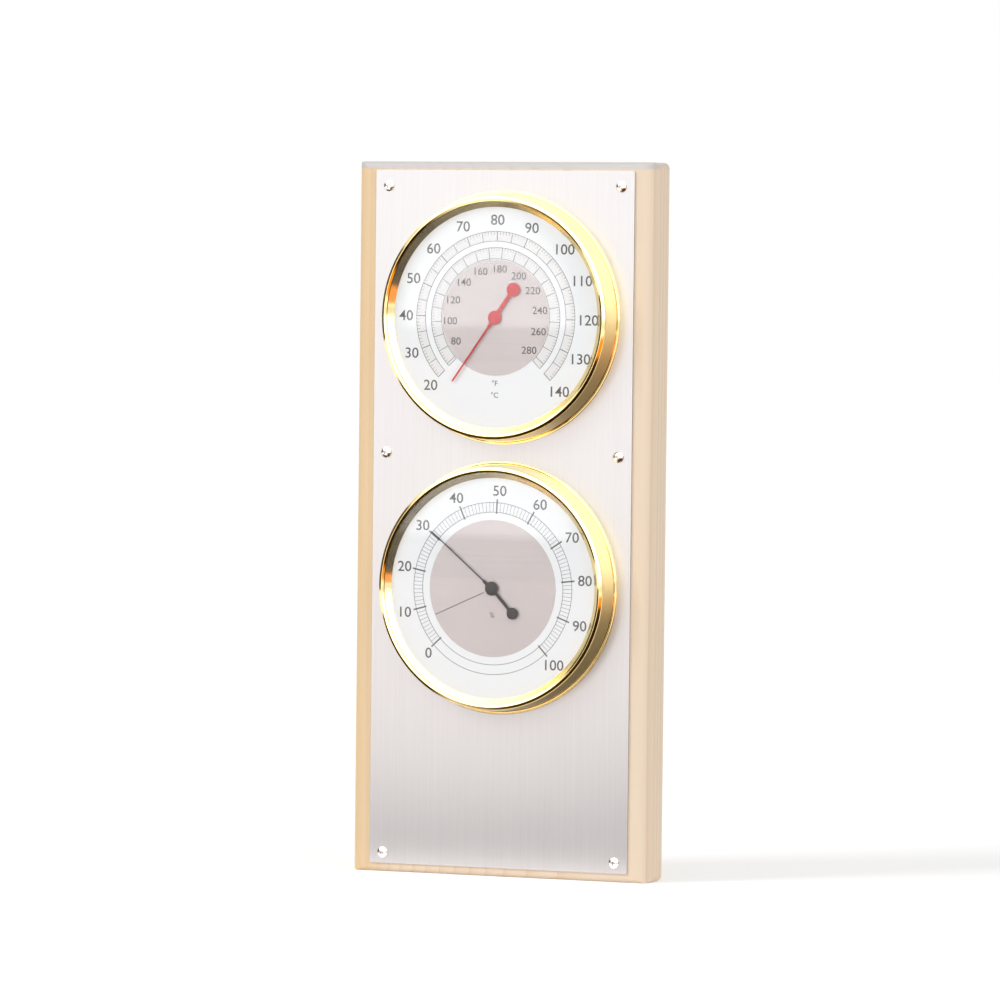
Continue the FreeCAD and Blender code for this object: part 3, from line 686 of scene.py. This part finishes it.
def makePlateScrews(size):
    headRadius, topHeight, length = size["headRadius"], size["headHeight"], size["shankLength"]
    dome = domePoints(headRadius, topHeight, topHeight - size["rimHeight"], size["domeSteps"])
    edgeIn, edgeUp = size["rimEdge"]
    end = length - size["shankRadius"]
    profile = [(0, -length), (size["shankRadius"], -end), (size["shankRadius"], 0),
               (headRadius - edgeIn, 0), (headRadius, edgeUp)] + dome
    screw = spun(thermometer, profile, size["steps"], closed=False, centre=Vector((0, 0, 0)))
    mouth = plateFront - topHeight * mm
    arms = []
    for turn in (0, math.pi / 2):
        deselectAll()
        bpy.ops.mesh.primitive_cube_add(
            size=1, location=(0, mouth, 0), rotation=(0, turn, 0),
            scale=Vector((size["crossLength"], 2 * size["crossDepth"], size["crossWidth"])) * mm)
        arms.append(bpy.context.object)
    narrowing = size["crossFloorShare"]
    for arm in arms:
        applyPlace(arm)
        editMode(arm, "DESELECT")
        objectMode()
        for vertex in arm.data.vertices:  # the recess narrows towards its floor
            vertex.select = vertex.co.y > mouth
        bpy.ops.object.mode_set(mode="EDIT")
        bpy.ops.transform.resize(value=(narrowing, 1, narrowing), center_override=(0, plateFront, 0))
        objectMode()
        cutWith(screw, arm)
    cleanUp(screw)
    copies = []
    for place, turn in zip(screwPlaces(facePlate["screwRows"]), size["turns"]):
        shift = Matrix.Translation(Vector((place.x, 0, place.z)))
        copies.append(copyOf(screw, shift @ Matrix.Rotation(math.radians(turn), 4, "Y")))
    bpy.data.objects.remove(screw)
    keep(joined(copies), "plateScrewHeads", platedScrew, "root", ("plate_screws",), smooth=40)


makePlateScrews(plateScrew)


# Bezels: drawn gilt rings with a low ridge round the lip, a leaning wall and a small foot

bezelRing = {
    "boreRadius": 46.9,  # mm, edge of the lip over the pane
    "lipRadius": 49.0,
    "footRadius": 50.3,
    "flangeRadius": 51.2,
    "flangeEdge": 0.15,
    "height": 11.0,
    "sheet": 0.6,
    "shoulderRound": 0.5,
    "shoulderOut": 0.1,  # how far the shoulder stands out over the lip's radius
    "outerSlope": 30,  # degrees, the lip falls away on both sides of a rounded ridge
    "innerSlope": 30,
    "ridgeRadius": 47.8,
    "ridgeRound": 0.3,
    "ridgeSteps": 6,
    "insideRound": 0.5,
    "boreUnderside": 10.45,  # mm above the plate, just clear of the pane
    "footBend": 0.5,
    "bendSteps": 5,
    "steps": 240,
}


def makeBezel(gauge, size):
    sheet, top, flange, bends = size["sheet"], size["height"], size["flangeRadius"], size["bendSteps"]
    lean = math.degrees(math.atan2(size["footRadius"] - size["lipRadius"], top))
    outer, inner = size["outerSlope"], size["innerSlope"]
    ridge = arcPoints(size["ridgeRadius"], top - size["ridgeRound"], size["ridgeRound"], 90 - outer,
                      90 + inner, size["ridgeSteps"])
    # the shoulder's arc touches the outer slope below the ridge
    shoulder = size["shoulderRound"]
    shoulderRadius = size["lipRadius"] + size["shoulderOut"] - shoulder
    touchRadius = shoulderRadius + shoulder * math.sin(math.radians(outer))
    ridgeOuter, ridgeInner = ridge[0], ridge[-1]
    touchHeight = ridgeOuter[1] - (touchRadius - ridgeOuter[0]) * math.tan(math.radians(outer))
    shoulderHeight = touchHeight - shoulder * math.cos(math.radians(outer))
    boreHeight = ridgeInner[1] - (ridgeInner[0] - size["boreRadius"]) * math.tan(math.radians(inner))
    bend, inside, edge = size["footBend"], size["insideRound"], size["flangeEdge"]
    profile = [(flange, 0.0), (flange, sheet - edge), (flange - edge, sheet)]
    profile += arcPoints(size["footRadius"] + bend, sheet + bend, bend, 270, 180 + lean, bends)
    profile += arcPoints(shoulderRadius, shoulderHeight, shoulder, lean, 90 - outer, bends)
    profile += ridge
    profile += [(size["boreRadius"], boreHeight), (size["boreRadius"], size["boreUnderside"])]
    profile += arcPoints(size["lipRadius"] - sheet - inside, top - sheet - inside, inside, 90, lean, bends)
    profile += [(size["footRadius"] - sheet, 0.0)]
    piece = spun(gauge, profile, size["steps"])
    keep(piece, gauge.kind + "BezelRing", polishedGilt, "root", (gauge.kind + "_bezel",), smooth=50,
         weighted=True)


for gauge in gauges:
    makeBezel(gauge, bezelRing)


# Panes: slightly domed clear sheets under the lips

domedPane = {
    "radius": 48.0,  # mm
    "backHeight": 9.5,
    "thickness": 0.83,
    "rise": 1.645,
    "rings": 16,
    "steps": 120,
}


def makePane(gauge, size):
    front = domePoints(size["radius"], size["backHeight"] + size["rise"] + size["thickness"], size["rise"],
                       size["rings"])
    back = [(reach, height - size["thickness"]) for reach, height in reversed(front)]
    piece = spun(gauge, back + front, size["steps"], closed=False)
    piece.visible_shadow = False  # the light reaches the dial through the pane
    piece.visible_diffuse = False
    keep(piece, gauge.kind + "Pane", clearPane, "root", (gauge.kind + "_glass",))


for gauge in gauges:
    makePane(gauge, domedPane)


# Pointers: pressed hand, domed hub, counterweight disc

thermometerPointer = {
    "angle": 215.4,  # degrees clockwise from straight up
    "tailBend": 0.0,
    "needleWidth": 1.6,  # mm at the hub
    "tipWidth": 0.65,
    "needleMargin": 13.0,  # from the tip to the spacer ring's bore
    "tailLength": 13.9,
    "tailWidth": 1.6,
    "discRadius": 2.8,
}
hygrometerPointer = {
    "angle": 310.0,
    "tailBend": 7.0,
    "needleWidth": 0.8,
    "tipWidth": 0.4,
    "needleMargin": 9.7,
    "tailLength": 13.4,
    "tailWidth": 1.2,
    "discRadius": 2.4,
}
pointerSheet = {
    "backHeight": 8.3,  # mm above the plate's front
    "sheet": 0.3,
    "edgeRound": 0.08,
    "edgeAngle": 60,  # degrees
    "stubLength": 4.75,  # mm, the broad start of the needle
    "stubWidth": 1.5,
    "stubEndShare": 0.9,  # of the stub's width
    "hubRadius": 2.85,
    "hubHeight": 0.9,
    "hubRim": 0.3,  # where the hub's dome begins
    "hubEdge": 0.1,
    "domeSteps": 8,
    "steps": 48,
    "ringInner": 44.6,
}


def flatBar(gauge, width, tipWidth, length, sheet):
    # a bar on the gauge pointing up from its axis, narrowed to the tip
    deselectAll()
    y = plateFront - (sheet["backHeight"] + sheet["sheet"] / 2) * mm
    bpy.ops.mesh.primitive_cube_add(size=1, location=gauge.at(length / 2 * mm, y),
                                    scale=(width * mm, sheet["sheet"] * mm, length * mm))
    bar = bpy.context.object
    applyPlace(bar)
    for vertex in bar.data.vertices:
        vertex.select = vertex.co.z > gauge.centreZ + length / 2 * mm
    bpy.ops.object.mode_set(mode="EDIT")
    bpy.ops.transform.resize(value=(tipWidth / width, 1, 1), center_override=gauge.at(length * mm, y))
    objectMode()
    return bar


def makePointer(gauge, hand, sheet, material):
    base, rise, edge = sheet["backHeight"], sheet["sheet"], sheet["hubEdge"]
    radius, hubHeight, stubWidth = sheet["hubRadius"], sheet["hubHeight"], sheet["stubWidth"]
    dome = domePoints(radius, base + hubHeight, hubHeight - sheet["hubRim"], sheet["domeSteps"])
    hub = [(0, base), (radius - edge, base), (radius, base + edge)] + dome
    piece = spun(gauge, hub, sheet["steps"], closed=False)
    needleLength = sheet["ringInner"] - hand["needleMargin"]
    needle = flatBar(gauge, hand["needleWidth"], hand["tipWidth"], needleLength, sheet)
    stub = flatBar(gauge, stubWidth, stubWidth * sheet["stubEndShare"], sheet["stubLength"], sheet)
    tail = flatBar(gauge, hand["tailWidth"], hand["tailWidth"], hand["tailLength"], sheet)
    deselectAll()
    y = plateFront - (base + rise / 2) * mm
    bpy.ops.mesh.primitive_cylinder_add(
        vertices=sheet["steps"], radius=hand["discRadius"] * mm, depth=rise * mm,
        location=gauge.at(hand["tailLength"] * mm, y), rotation=facingFront)
    disc = bpy.context.object
    for part in (tail, disc):
        part.matrix_world = gauge.turned(180 + hand["tailBend"]) @ part.matrix_world
    for part in (needle, stub, tail, disc):
        applyPlace(part)
        cutWith(piece, part, "UNION")
    cleanUp(piece)
    softenEdges(piece, sheet["edgeRound"], sheet["edgeAngle"])
    piece.matrix_world = gauge.turned(hand["angle"]) @ piece.matrix_world
    keep(piece, gauge.kind + "Hand", material, gauge.body, (gauge.kind + "_pointer",), smooth=40)


makePointer(thermometer, thermometerPointer, pointerSheet, redLacquer)
makePointer(hygrometer, hygrometerPointer, pointerSheet, blackLacquer)


# Printed scales: raised ink that sinks a little into the lacquer

ink = {
    "rise": 0.03,  # mm proud of the lacquer
    "bandRise": 0.012,  # the pale bands stay below the lines
    "sink": 0.01,
    "arcSteps": 180,
}
figureText = {
    "offset": 0.005,  # share of the text size, thickens the strokes
    "markOffset": 0.004,
    "widen": 1.06,
    "resolution": 4,
}


def inkPlace(face, rise="rise"):
    # how deep a print is, and where its middle lies
    depth = (ink[rise] + ink["sink"]) * mm
    return depth, face + ink["sink"] * mm - depth / 2


def tickRow(gauge, face, angles, inner, outer, width):
    # one tick as a small block, copied to every angle
    deselectAll()
    depth, y = inkPlace(face)
    bpy.ops.mesh.primitive_cube_add(size=1, location=gauge.at((inner + outer) / 2 * mm, y),
                                    scale=(width * mm, depth, (outer - inner) * mm))
    tick = bpy.context.object
    ticks = [copyOf(tick, gauge.turned(angle)) for angle in angles]
    bpy.data.objects.remove(tick)
    return joined(ticks)


def arcBand(gauge, face, inner, outer, first=0.0, sweep=360.0, rise="rise"):
    # a flat ring or arc of ink from one angle over a sweep, spun from its cross section
    deselectAll()
    depth, y = inkPlace(face, rise)
    bpy.ops.mesh.primitive_plane_add(size=1, location=gauge.at((inner + outer) / 2 * mm, y),
                                     rotation=(0, math.pi / 2, 0))
    band = bpy.context.object
    band.scale = ((outer - inner) * mm, depth, 1)
    applyPlace(band)
    editMode(band)
    if sweep >= 360:
        bpy.ops.mesh.delete(type="ONLY_FACE")
        bpy.ops.mesh.select_all(action="SELECT")
    bpy.ops.mesh.spin(steps=ink["arcSteps"], angle=math.radians(sweep), center=(0, y, gauge.centreZ),
                      axis=(0, -1, 0))
    weldAll("spun")
    band.matrix_world = gauge.turned(first) @ band.matrix_world
    applyPlace(band)
    return band


def tickAngles(values, first, step, low=None):
    # degrees of the values on a dial, whose first value stands at the first angle
    low = values[0] if low is None else low
    return [first + step * (value - low) for value in values]


def circleLine(gauge, face, radius, width, first=0.0, sweep=360.0):
    return arcBand(gauge, face, radius - width / 2, radius + width / 2, first, sweep)


def figure(text, height, place, face, offset="offset"):
    # upright figures centred on a place, cut to the wanted height in mm
    deselectAll()
    bpy.ops.object.text_add(location=(0, 0, 0), rotation=facingFront)
    words = bpy.context.object
    words.data.body = text
    words.data.size = 1.0
    words.data.offset = figureText[offset]
    words.data.resolution_u = figureText["resolution"]
    words.data.extrude = 0.5
    bpy.ops.object.convert(target="MESH")
    words = bpy.context.object
    applyPlace(words)
    low = Vector([min(corner[axis] for corner in words.bound_box) for axis in range(3)])
    high = Vector([max(corner[axis] for corner in words.bound_box) for axis in range(3)])
    scale = height * mm / (high.z - low.z)
    depth, y = inkPlace(face)
    words.scale = (scale * figureText["widen"], depth / (high.y - low.y), scale)
    middle = (low + high) / 2
    words.location = (place.x - middle.x * words.scale.x, y - middle.y * words.scale.y,
                      place.z - middle.z * scale)
    applyPlace(words)
    cleanUp(words, "ink")
    return words


def figureRow(gauge, face, sizes, values, first, step, nudges):
    # the outer figures, longer ones standing further out, some set a little aside as on the printed dials
    radius, perDigit, height = sizes
    row = []
    for value in values:
        right, up = nudges.get(value, (0, 0))
        reach = radius + perDigit * len(str(value))
        place = gauge.at(reach * mm, face, first + step * (value - values[0]))
        row.append(figure(str(value), height, place + Vector((right, 0, up)) * mm, face))
    return row


# Both scales: radii, widths and heights in mm, angles in degrees clockwise from straight up

thermometerScale = {
    "first": 225.8,  # at 20 C and 68 F
    "celsius": (20, 140),
    "celsiusStep": 2.25,  # degrees per degree C
    "celsiusBand": (30.8, 34.7),
    "fahrenheit": (68, 284),
    "fahrenheitStep": 1.25,
    "fahrenheitBand": (23.7, 28.2),
    "line": 0.2,
    "tenTick": 0.3,
    "fiveTick": 0.2,
    "celsiusTick": (1.3, 0.14),  # length, width
    "fahrenheitTenTick": 0.2,
    "fahrenheitTick": (1.2, 0.12),
    "celsiusFigures": (36.4, 1.5, 4.2),  # radius, more for every digit, height
    "nudges": {60: (0, -0.6), 100: (0.9, -0.8)},  # to the right and up
    "fahrenheitFigures": (19.7, 3.0),
    "fahrenheitMark": (26.3, 2.2),
    "celsiusMark": (31.1, 2.2),
}
hygrometerScale = {
    "first": 227.7,  # at 0 %
    "step": 2.7,
    "band": (30.8, 34.7),
    "line": 0.2,
    "tick": 0.14,
    "tenTick": 0.6,
    "tenTickPast": (0.6, 1.3),  # how far the long ticks stand in and out of the band
    "figures": (37.7, 1.0, 4.2),
    "nudges": {
        0: (0.7, -0.7), 50: (0.9, -0.2), 60: (0.8, -0.2), 70: (1.4, -0.4), 80: (0.9, -0.2), 90: (1.1, 0),
    },
    # painted shade: a dark strip at the bottom of the disc's slit
    "slit": (3.4, 27.5, 0.34, 246.0),  # from and to radius, width, degrees
    "mark": (10.7, 2.2),
}


def makeThermometerScale(scale):
    gauge, face = thermometer, thermometer.dialFace
    first, perC, perF = scale["first"], scale["celsiusStep"], scale["fahrenheitStep"]
    lowC, highC = scale["celsius"]
    lowF, highF = scale["fahrenheit"]
    sweep = (highC - lowC) * perC
    bands = (scale["celsiusBand"], scale["fahrenheitBand"])
    inks = [circleLine(gauge, face, radius, scale["line"], first, sweep) for band in bands for radius in band]
    (innerC, outerC), (innerF, outerF) = bands
    tens = tickAngles(range(lowC, highC + 1, 10), first, perC)
    inks.append(tickRow(gauge, face, tens, innerC, outerC, scale["tenTick"]))
    fives = tickAngles(range(lowC + 5, highC, 10), first, perC, lowC)
    inks.append(tickRow(gauge, face, fives, innerC, outerC, scale["fiveTick"]))
    length, width = scale["celsiusTick"]
    between = tickAngles([value for value in range(lowC, highC) if value % 5], first, perC, lowC)
    inks.append(tickRow(gauge, face, between, outerC - length, outerC, width))
    tens = tickAngles([lowF, highF, *range(lowF + 2, highF, 10)], first, perF)
    inks.append(tickRow(gauge, face, tens, innerF, outerF, scale["fahrenheitTenTick"]))
    length, width = scale["fahrenheitTick"]
    between = tickAngles([value for value in range(lowF + 2, highF + 1, 2) if value % 10], first, perF, lowF)
    inks.append(tickRow(gauge, face, between, outerF - length, outerF, width))
    keep(joined(inks), "thermometerScaleLines", scaleInkAndSlitShade, "root")
    arcs = [arcBand(gauge, face, inner, outer, first, sweep, "bandRise") for inner, outer in bands]
    keep(joined(arcs), "thermometerScaleBands", bandInk, "root")
    figures = figureRow(gauge, face, scale["celsiusFigures"], range(lowC, highC + 1, 10), first, perC,
                        scale["nudges"])
    keep(joined(figures), "celsiusFigures", figureInk, "root")
    radius, height = scale["fahrenheitFigures"]
    figures = []
    for value in range(80, 281, 20):
        place = gauge.at(radius * mm, gauge.discFace, first + perF * (value - lowF))
        figures.append(figure(str(value), height, place, gauge.discFace))
    keep(joined(figures), "fahrenheitFigures", figureInk, "root")
    marks = []
    for text, (radius, height) in (("°F", scale["fahrenheitMark"]), ("°C", scale["celsiusMark"])):
        marks.append(figure(text, height, gauge.at(radius * mm, face, 180), face, "markOffset"))
    keep(joined(marks), "thermometerUnitMarks", figureInk, "root")


def makeHygrometerScale(scale):
    gauge, face = hygrometer, hygrometer.dialFace
    first, step = scale["first"], scale["step"]
    inner, outer = scale["band"]
    inks = [circleLine(gauge, face, radius, scale["line"]) for radius in scale["band"]]
    between = tickAngles([value for value in range(101) if value % 10], first, step, 0)
    inks.append(tickRow(gauge, face, between, inner, outer, scale["tick"]))
    tens = tickAngles(range(0, 101, 10), first, step)
    pastInner, pastOuter = scale["tenTickPast"]
    inks.append(tickRow(gauge, face, tens, inner - pastInner, outer + pastOuter, scale["tenTick"]))
    # painted shade: a dark ink strip on the dial at the bottom of the disc's slit, standing in for the shade
    # in the slit
    slitInner, slitOuter, width, turn = scale["slit"]
    inks.append(tickRow(gauge, face, [turn], slitInner, slitOuter, width))
    keep(joined(inks), "hygrometerScaleLinesAndSlitShade", scaleInkAndSlitShade, "root")
    figures = figureRow(gauge, face, scale["figures"], range(0, 101, 10), first, step, scale["nudges"])
    keep(joined(figures), "humidityFigures", figureInk, "root")
    radius, height = scale["mark"]
    mark = figure("%", height, gauge.at(radius * mm, gauge.discFace, 180), gauge.discFace, "markOffset")
    keep(mark, "percentMark", figureInk, "root")


makeThermometerScale(thermometerScale)
makeHygrometerScale(hygrometerScale)


# Finishes of the carried-over nodes

boardFinishes = {"back_board": paleWood, "hanger_plate": zincSheet, "hanger_screws": zincScrew}
gaugeFinishes = {
    "case": drawnSheet,
    "case_screws": zincScrew,
    "rear_bush": turnedBrass,
    "pillars": turnedBrass,
    "bridge": turnedBrass,
    "bridge_screws": zincScrew,
    "front_bush": turnedBrass,
    "staff": arborSteel,
    "collet": turnedBrass,
    "coil_post": turnedBrass,
    "dial": whiteLacquer,
    "dial_centre": brushedDisc,
    "spacer_ring": polishedGilt,
}
coilFinishes = {"thermometer_coil": bimetalStrip, "hygrometer_coil": moistureStrip}


def dress(finishes, prefix=""):
    for node, material in finishes.items():
        slots = nodes[prefix + node].data.materials
        slots.clear()
        slots.append(material)


dress(boardFinishes)
for gauge in gauges:
    dress(gaugeFinishes, gauge.kind + "_")
dress(coilFinishes)
print("nodes dressed")


# Studio: pale floor, white surround, soft lamps, and cards that only reflections see

studio = {
    "ambient": 0.59,  # the surround's light on the object
    "floorSize": 24.0,  # metres
    "floorColor": (0.86, 0.86, 0.86, 1),
    "floorRoughness": 0.9,
    "floorGlow": 0.34,
    "lampDistance": 3,  # metres
}
softLamps = {
    # name: (azimuth, elevation, strength, softness in degrees, colour)
    "leftWindow": (-42, 34, 1.0, 20, (255, 255, 255)),
    "rightFill": (62, 18, 0.56, 50, (255, 255, 255)),
}
cards = {
    # name: (azimuth, elevation, distance, width, height, colour, strength, feather, rounded top)
    "skyCard": (-6, 54, 2.2, 6.4, 3.4, (252, 253, 255), 3.2, 0.25, False),
    "softboxWide": (-22, 9.8, 2.4, 2.8, 0.86, (252, 253, 255), 1.05, 0.22, False),
    "softboxGlare": (-23.6, 5.6, 2.39, 0.72, 0.44, (252, 253, 255), 4.2, 0.2, True),
    "softboxRight": (30, 15, 2.5, 2.2, 1.4, (255, 252, 246), 4.2, 0.2, False),
    "greyRight": (78, 2, 1.7, 1.5, 1.6, (178, 174, 168), 1.0, 0.3, False),
    "darkLeft": (-97, 0, 1.7, 3.0, 1.7, (96, 90, 60), 1.0, 0.15, False),
}
tableCards = {
    # name: (x, y, width, depth, height above the floor in mm, colour, strength, feather)
    "paleTable": (-0.3, -1.5, 4.2, 3.8, 0.2, (253, 241, 238), 1.85, 0.2),
    "amberTable": (0.68, -0.64, 1.4, 1.2, 0.4, (236, 146, 12), 1.45, 0.4),
    "darkNear": (-0.26, -0.045, 0.38, 0.08, 0.7, (66, 54, 22), 1.0, 0.25),
    "darkTable": (-0.12, -0.115, 1.1, 0.14, 0.6, (66, 54, 22), 1.0, 0.25),
    "darkCorner": (0.24, -0.32, 0.66, 0.5, 0.8, (42, 25, 2), 1.0, 0.4),
}


def seenRays(tree):
    # 1 for what the camera sees, straight, through glass or in metal
    rays = tree.nodes.new("ShaderNodeLightPath")
    straight = mathNode(tree, "MAXIMUM", rays.outputs["Is Camera Ray"], rays.outputs["Is Transmission Ray"])
    return mathNode(tree, "MAXIMUM", straight, rays.outputs["Is Glossy Ray"])


def makeWorld(values):
    world = bpy.data.worlds.new("whiteSurround")
    bpy.context.scene.world = world
    world.use_nodes = True
    tree = world.node_tree
    background = tree.nodes["Background"]
    background.inputs["Color"].default_value = (1, 1, 1, 1)
    strength = tree.nodes.new("ShaderNodeMapRange")
    strength.inputs["To Min"].default_value = values["ambient"]
    strength.inputs["To Max"].default_value = 1.0
    tree.links.new(seenRays(tree), strength.inputs["Value"])
    tree.links.new(strength.outputs["Result"], background.inputs["Strength"])


def makeFloor(values):
    deselectAll()
    bpy.ops.mesh.primitive_plane_add(size=values["floorSize"], location=(0, 0, cadLow.z))
    floor = bpy.context.object
    floor.name = "studioFloor"
    material = bpy.data.materials.new("paleFloor")
    material.use_nodes = True
    tree = material.node_tree
    shader = tree.nodes["Principled BSDF"]
    shader.inputs["Base Color"].default_value = values["floorColor"]
    shader.inputs["Roughness"].default_value = values["floorRoughness"]
    shader.inputs["Specular IOR Level"].default_value = 0.0
    shader.inputs["Emission Color"].default_value = (1, 1, 1, 1)
    glow = mathNode(tree, "MULTIPLY", seenRays(tree), values["floorGlow"])
    tree.links.new(glow, shader.inputs["Emission Strength"])
    floor.data.materials.append(material)


def makeLamp(name, azimuth, elevation, strength, softness, color):
    data = bpy.data.lights.new(name, "SUN")
    data.energy = strength
    data.color = linear(color)[:3]
    data.angle = math.radians(softness)
    lamp = bpy.data.objects.new(name, data)
    bpy.context.scene.collection.objects.link(lamp)
    away = towards(azimuth, elevation)
    lamp.location = away * studio["lampDistance"]
    lamp.rotation_euler = (-away).to_track_quat("-Z", "Y").to_euler()
    lamp.visible_glossy = False


def edgeFade(tree, reach, feather):
    # 1 in the card's middle, falling softly to 0 at its edge
    share = tree.nodes.new("ShaderNodeMapRange")
    share.interpolation_type = "SMOOTHSTEP"
    share.inputs["From Min"].default_value = 1.0
    share.inputs["From Max"].default_value = 1.0 - feather
    tree.links.new(reach, share.inputs["Value"])
    return share.outputs["Result"]


def makeCard(name, place, turn, size, color, strength, feather, rounded=False):
    # an emitting card, softened towards its edges, hidden from everything but reflections
    deselectAll()
    bpy.ops.mesh.primitive_plane_add(size=2, location=place, rotation=turn)
    card = bpy.context.object
    card.scale = (size[0] / 2, size[1] / 2, 1)
    card.name = name
    material = bpy.data.materials.new(name)
    material.use_nodes = True
    tree = material.node_tree
    tree.nodes.clear()
    parts = separated(tree, objectPlace(tree))
    across = mathNode(tree, "ABSOLUTE", parts[0])
    up = mathNode(tree, "ABSOLUTE", parts[1])
    if rounded:  # half an ellipse that stands on the card's lower edge
        lift = mathNode(tree, "MULTIPLY", mathNode(tree, "ADD", parts[1], 1.0), 0.5)
        across = mathNode(tree, "SQRT", blended(tree, across, across, lift, lift))
    mask = mathNode(tree, "MULTIPLY", edgeFade(tree, across, feather), edgeFade(tree, up, feather))
    glow = tree.nodes.new("ShaderNodeEmission")
    glow.inputs["Color"].default_value = linear(color)
    glow.inputs["Strength"].default_value = strength
    clear = tree.nodes.new("ShaderNodeBsdfTransparent")
    blend = tree.nodes.new("ShaderNodeMixShader")
    tree.links.new(mask, blend.inputs["Fac"])
    tree.links.new(clear.outputs[0], blend.inputs[1])
    tree.links.new(glow.outputs[0], blend.inputs[2])
    output = tree.nodes.new("ShaderNodeOutputMaterial")
    tree.links.new(blend.outputs[0], output.inputs["Surface"])
    card.data.materials.append(material)
    card.visible_camera = False
    card.visible_diffuse = False
    card.visible_shadow = False


makeWorld(studio)
makeFloor(studio)
for name, values in softLamps.items():
    makeLamp(name, *values)
for name, (azimuth, elevation, distance, width, height, *values) in cards.items():
    away = towards(azimuth, elevation)
    makeCard(name, away * distance, (-away).to_track_quat("Z", "Y").to_euler(), (width, height), *values)
for name, (x, y, width, depth, height, *values) in tableCards.items():
    makeCard(name, (x, y, cadLow.z + height * mm), (0, 0, 0), (width, depth), *values)
bpy.context.scene.view_settings.view_transform = "Standard"
print("studio set")
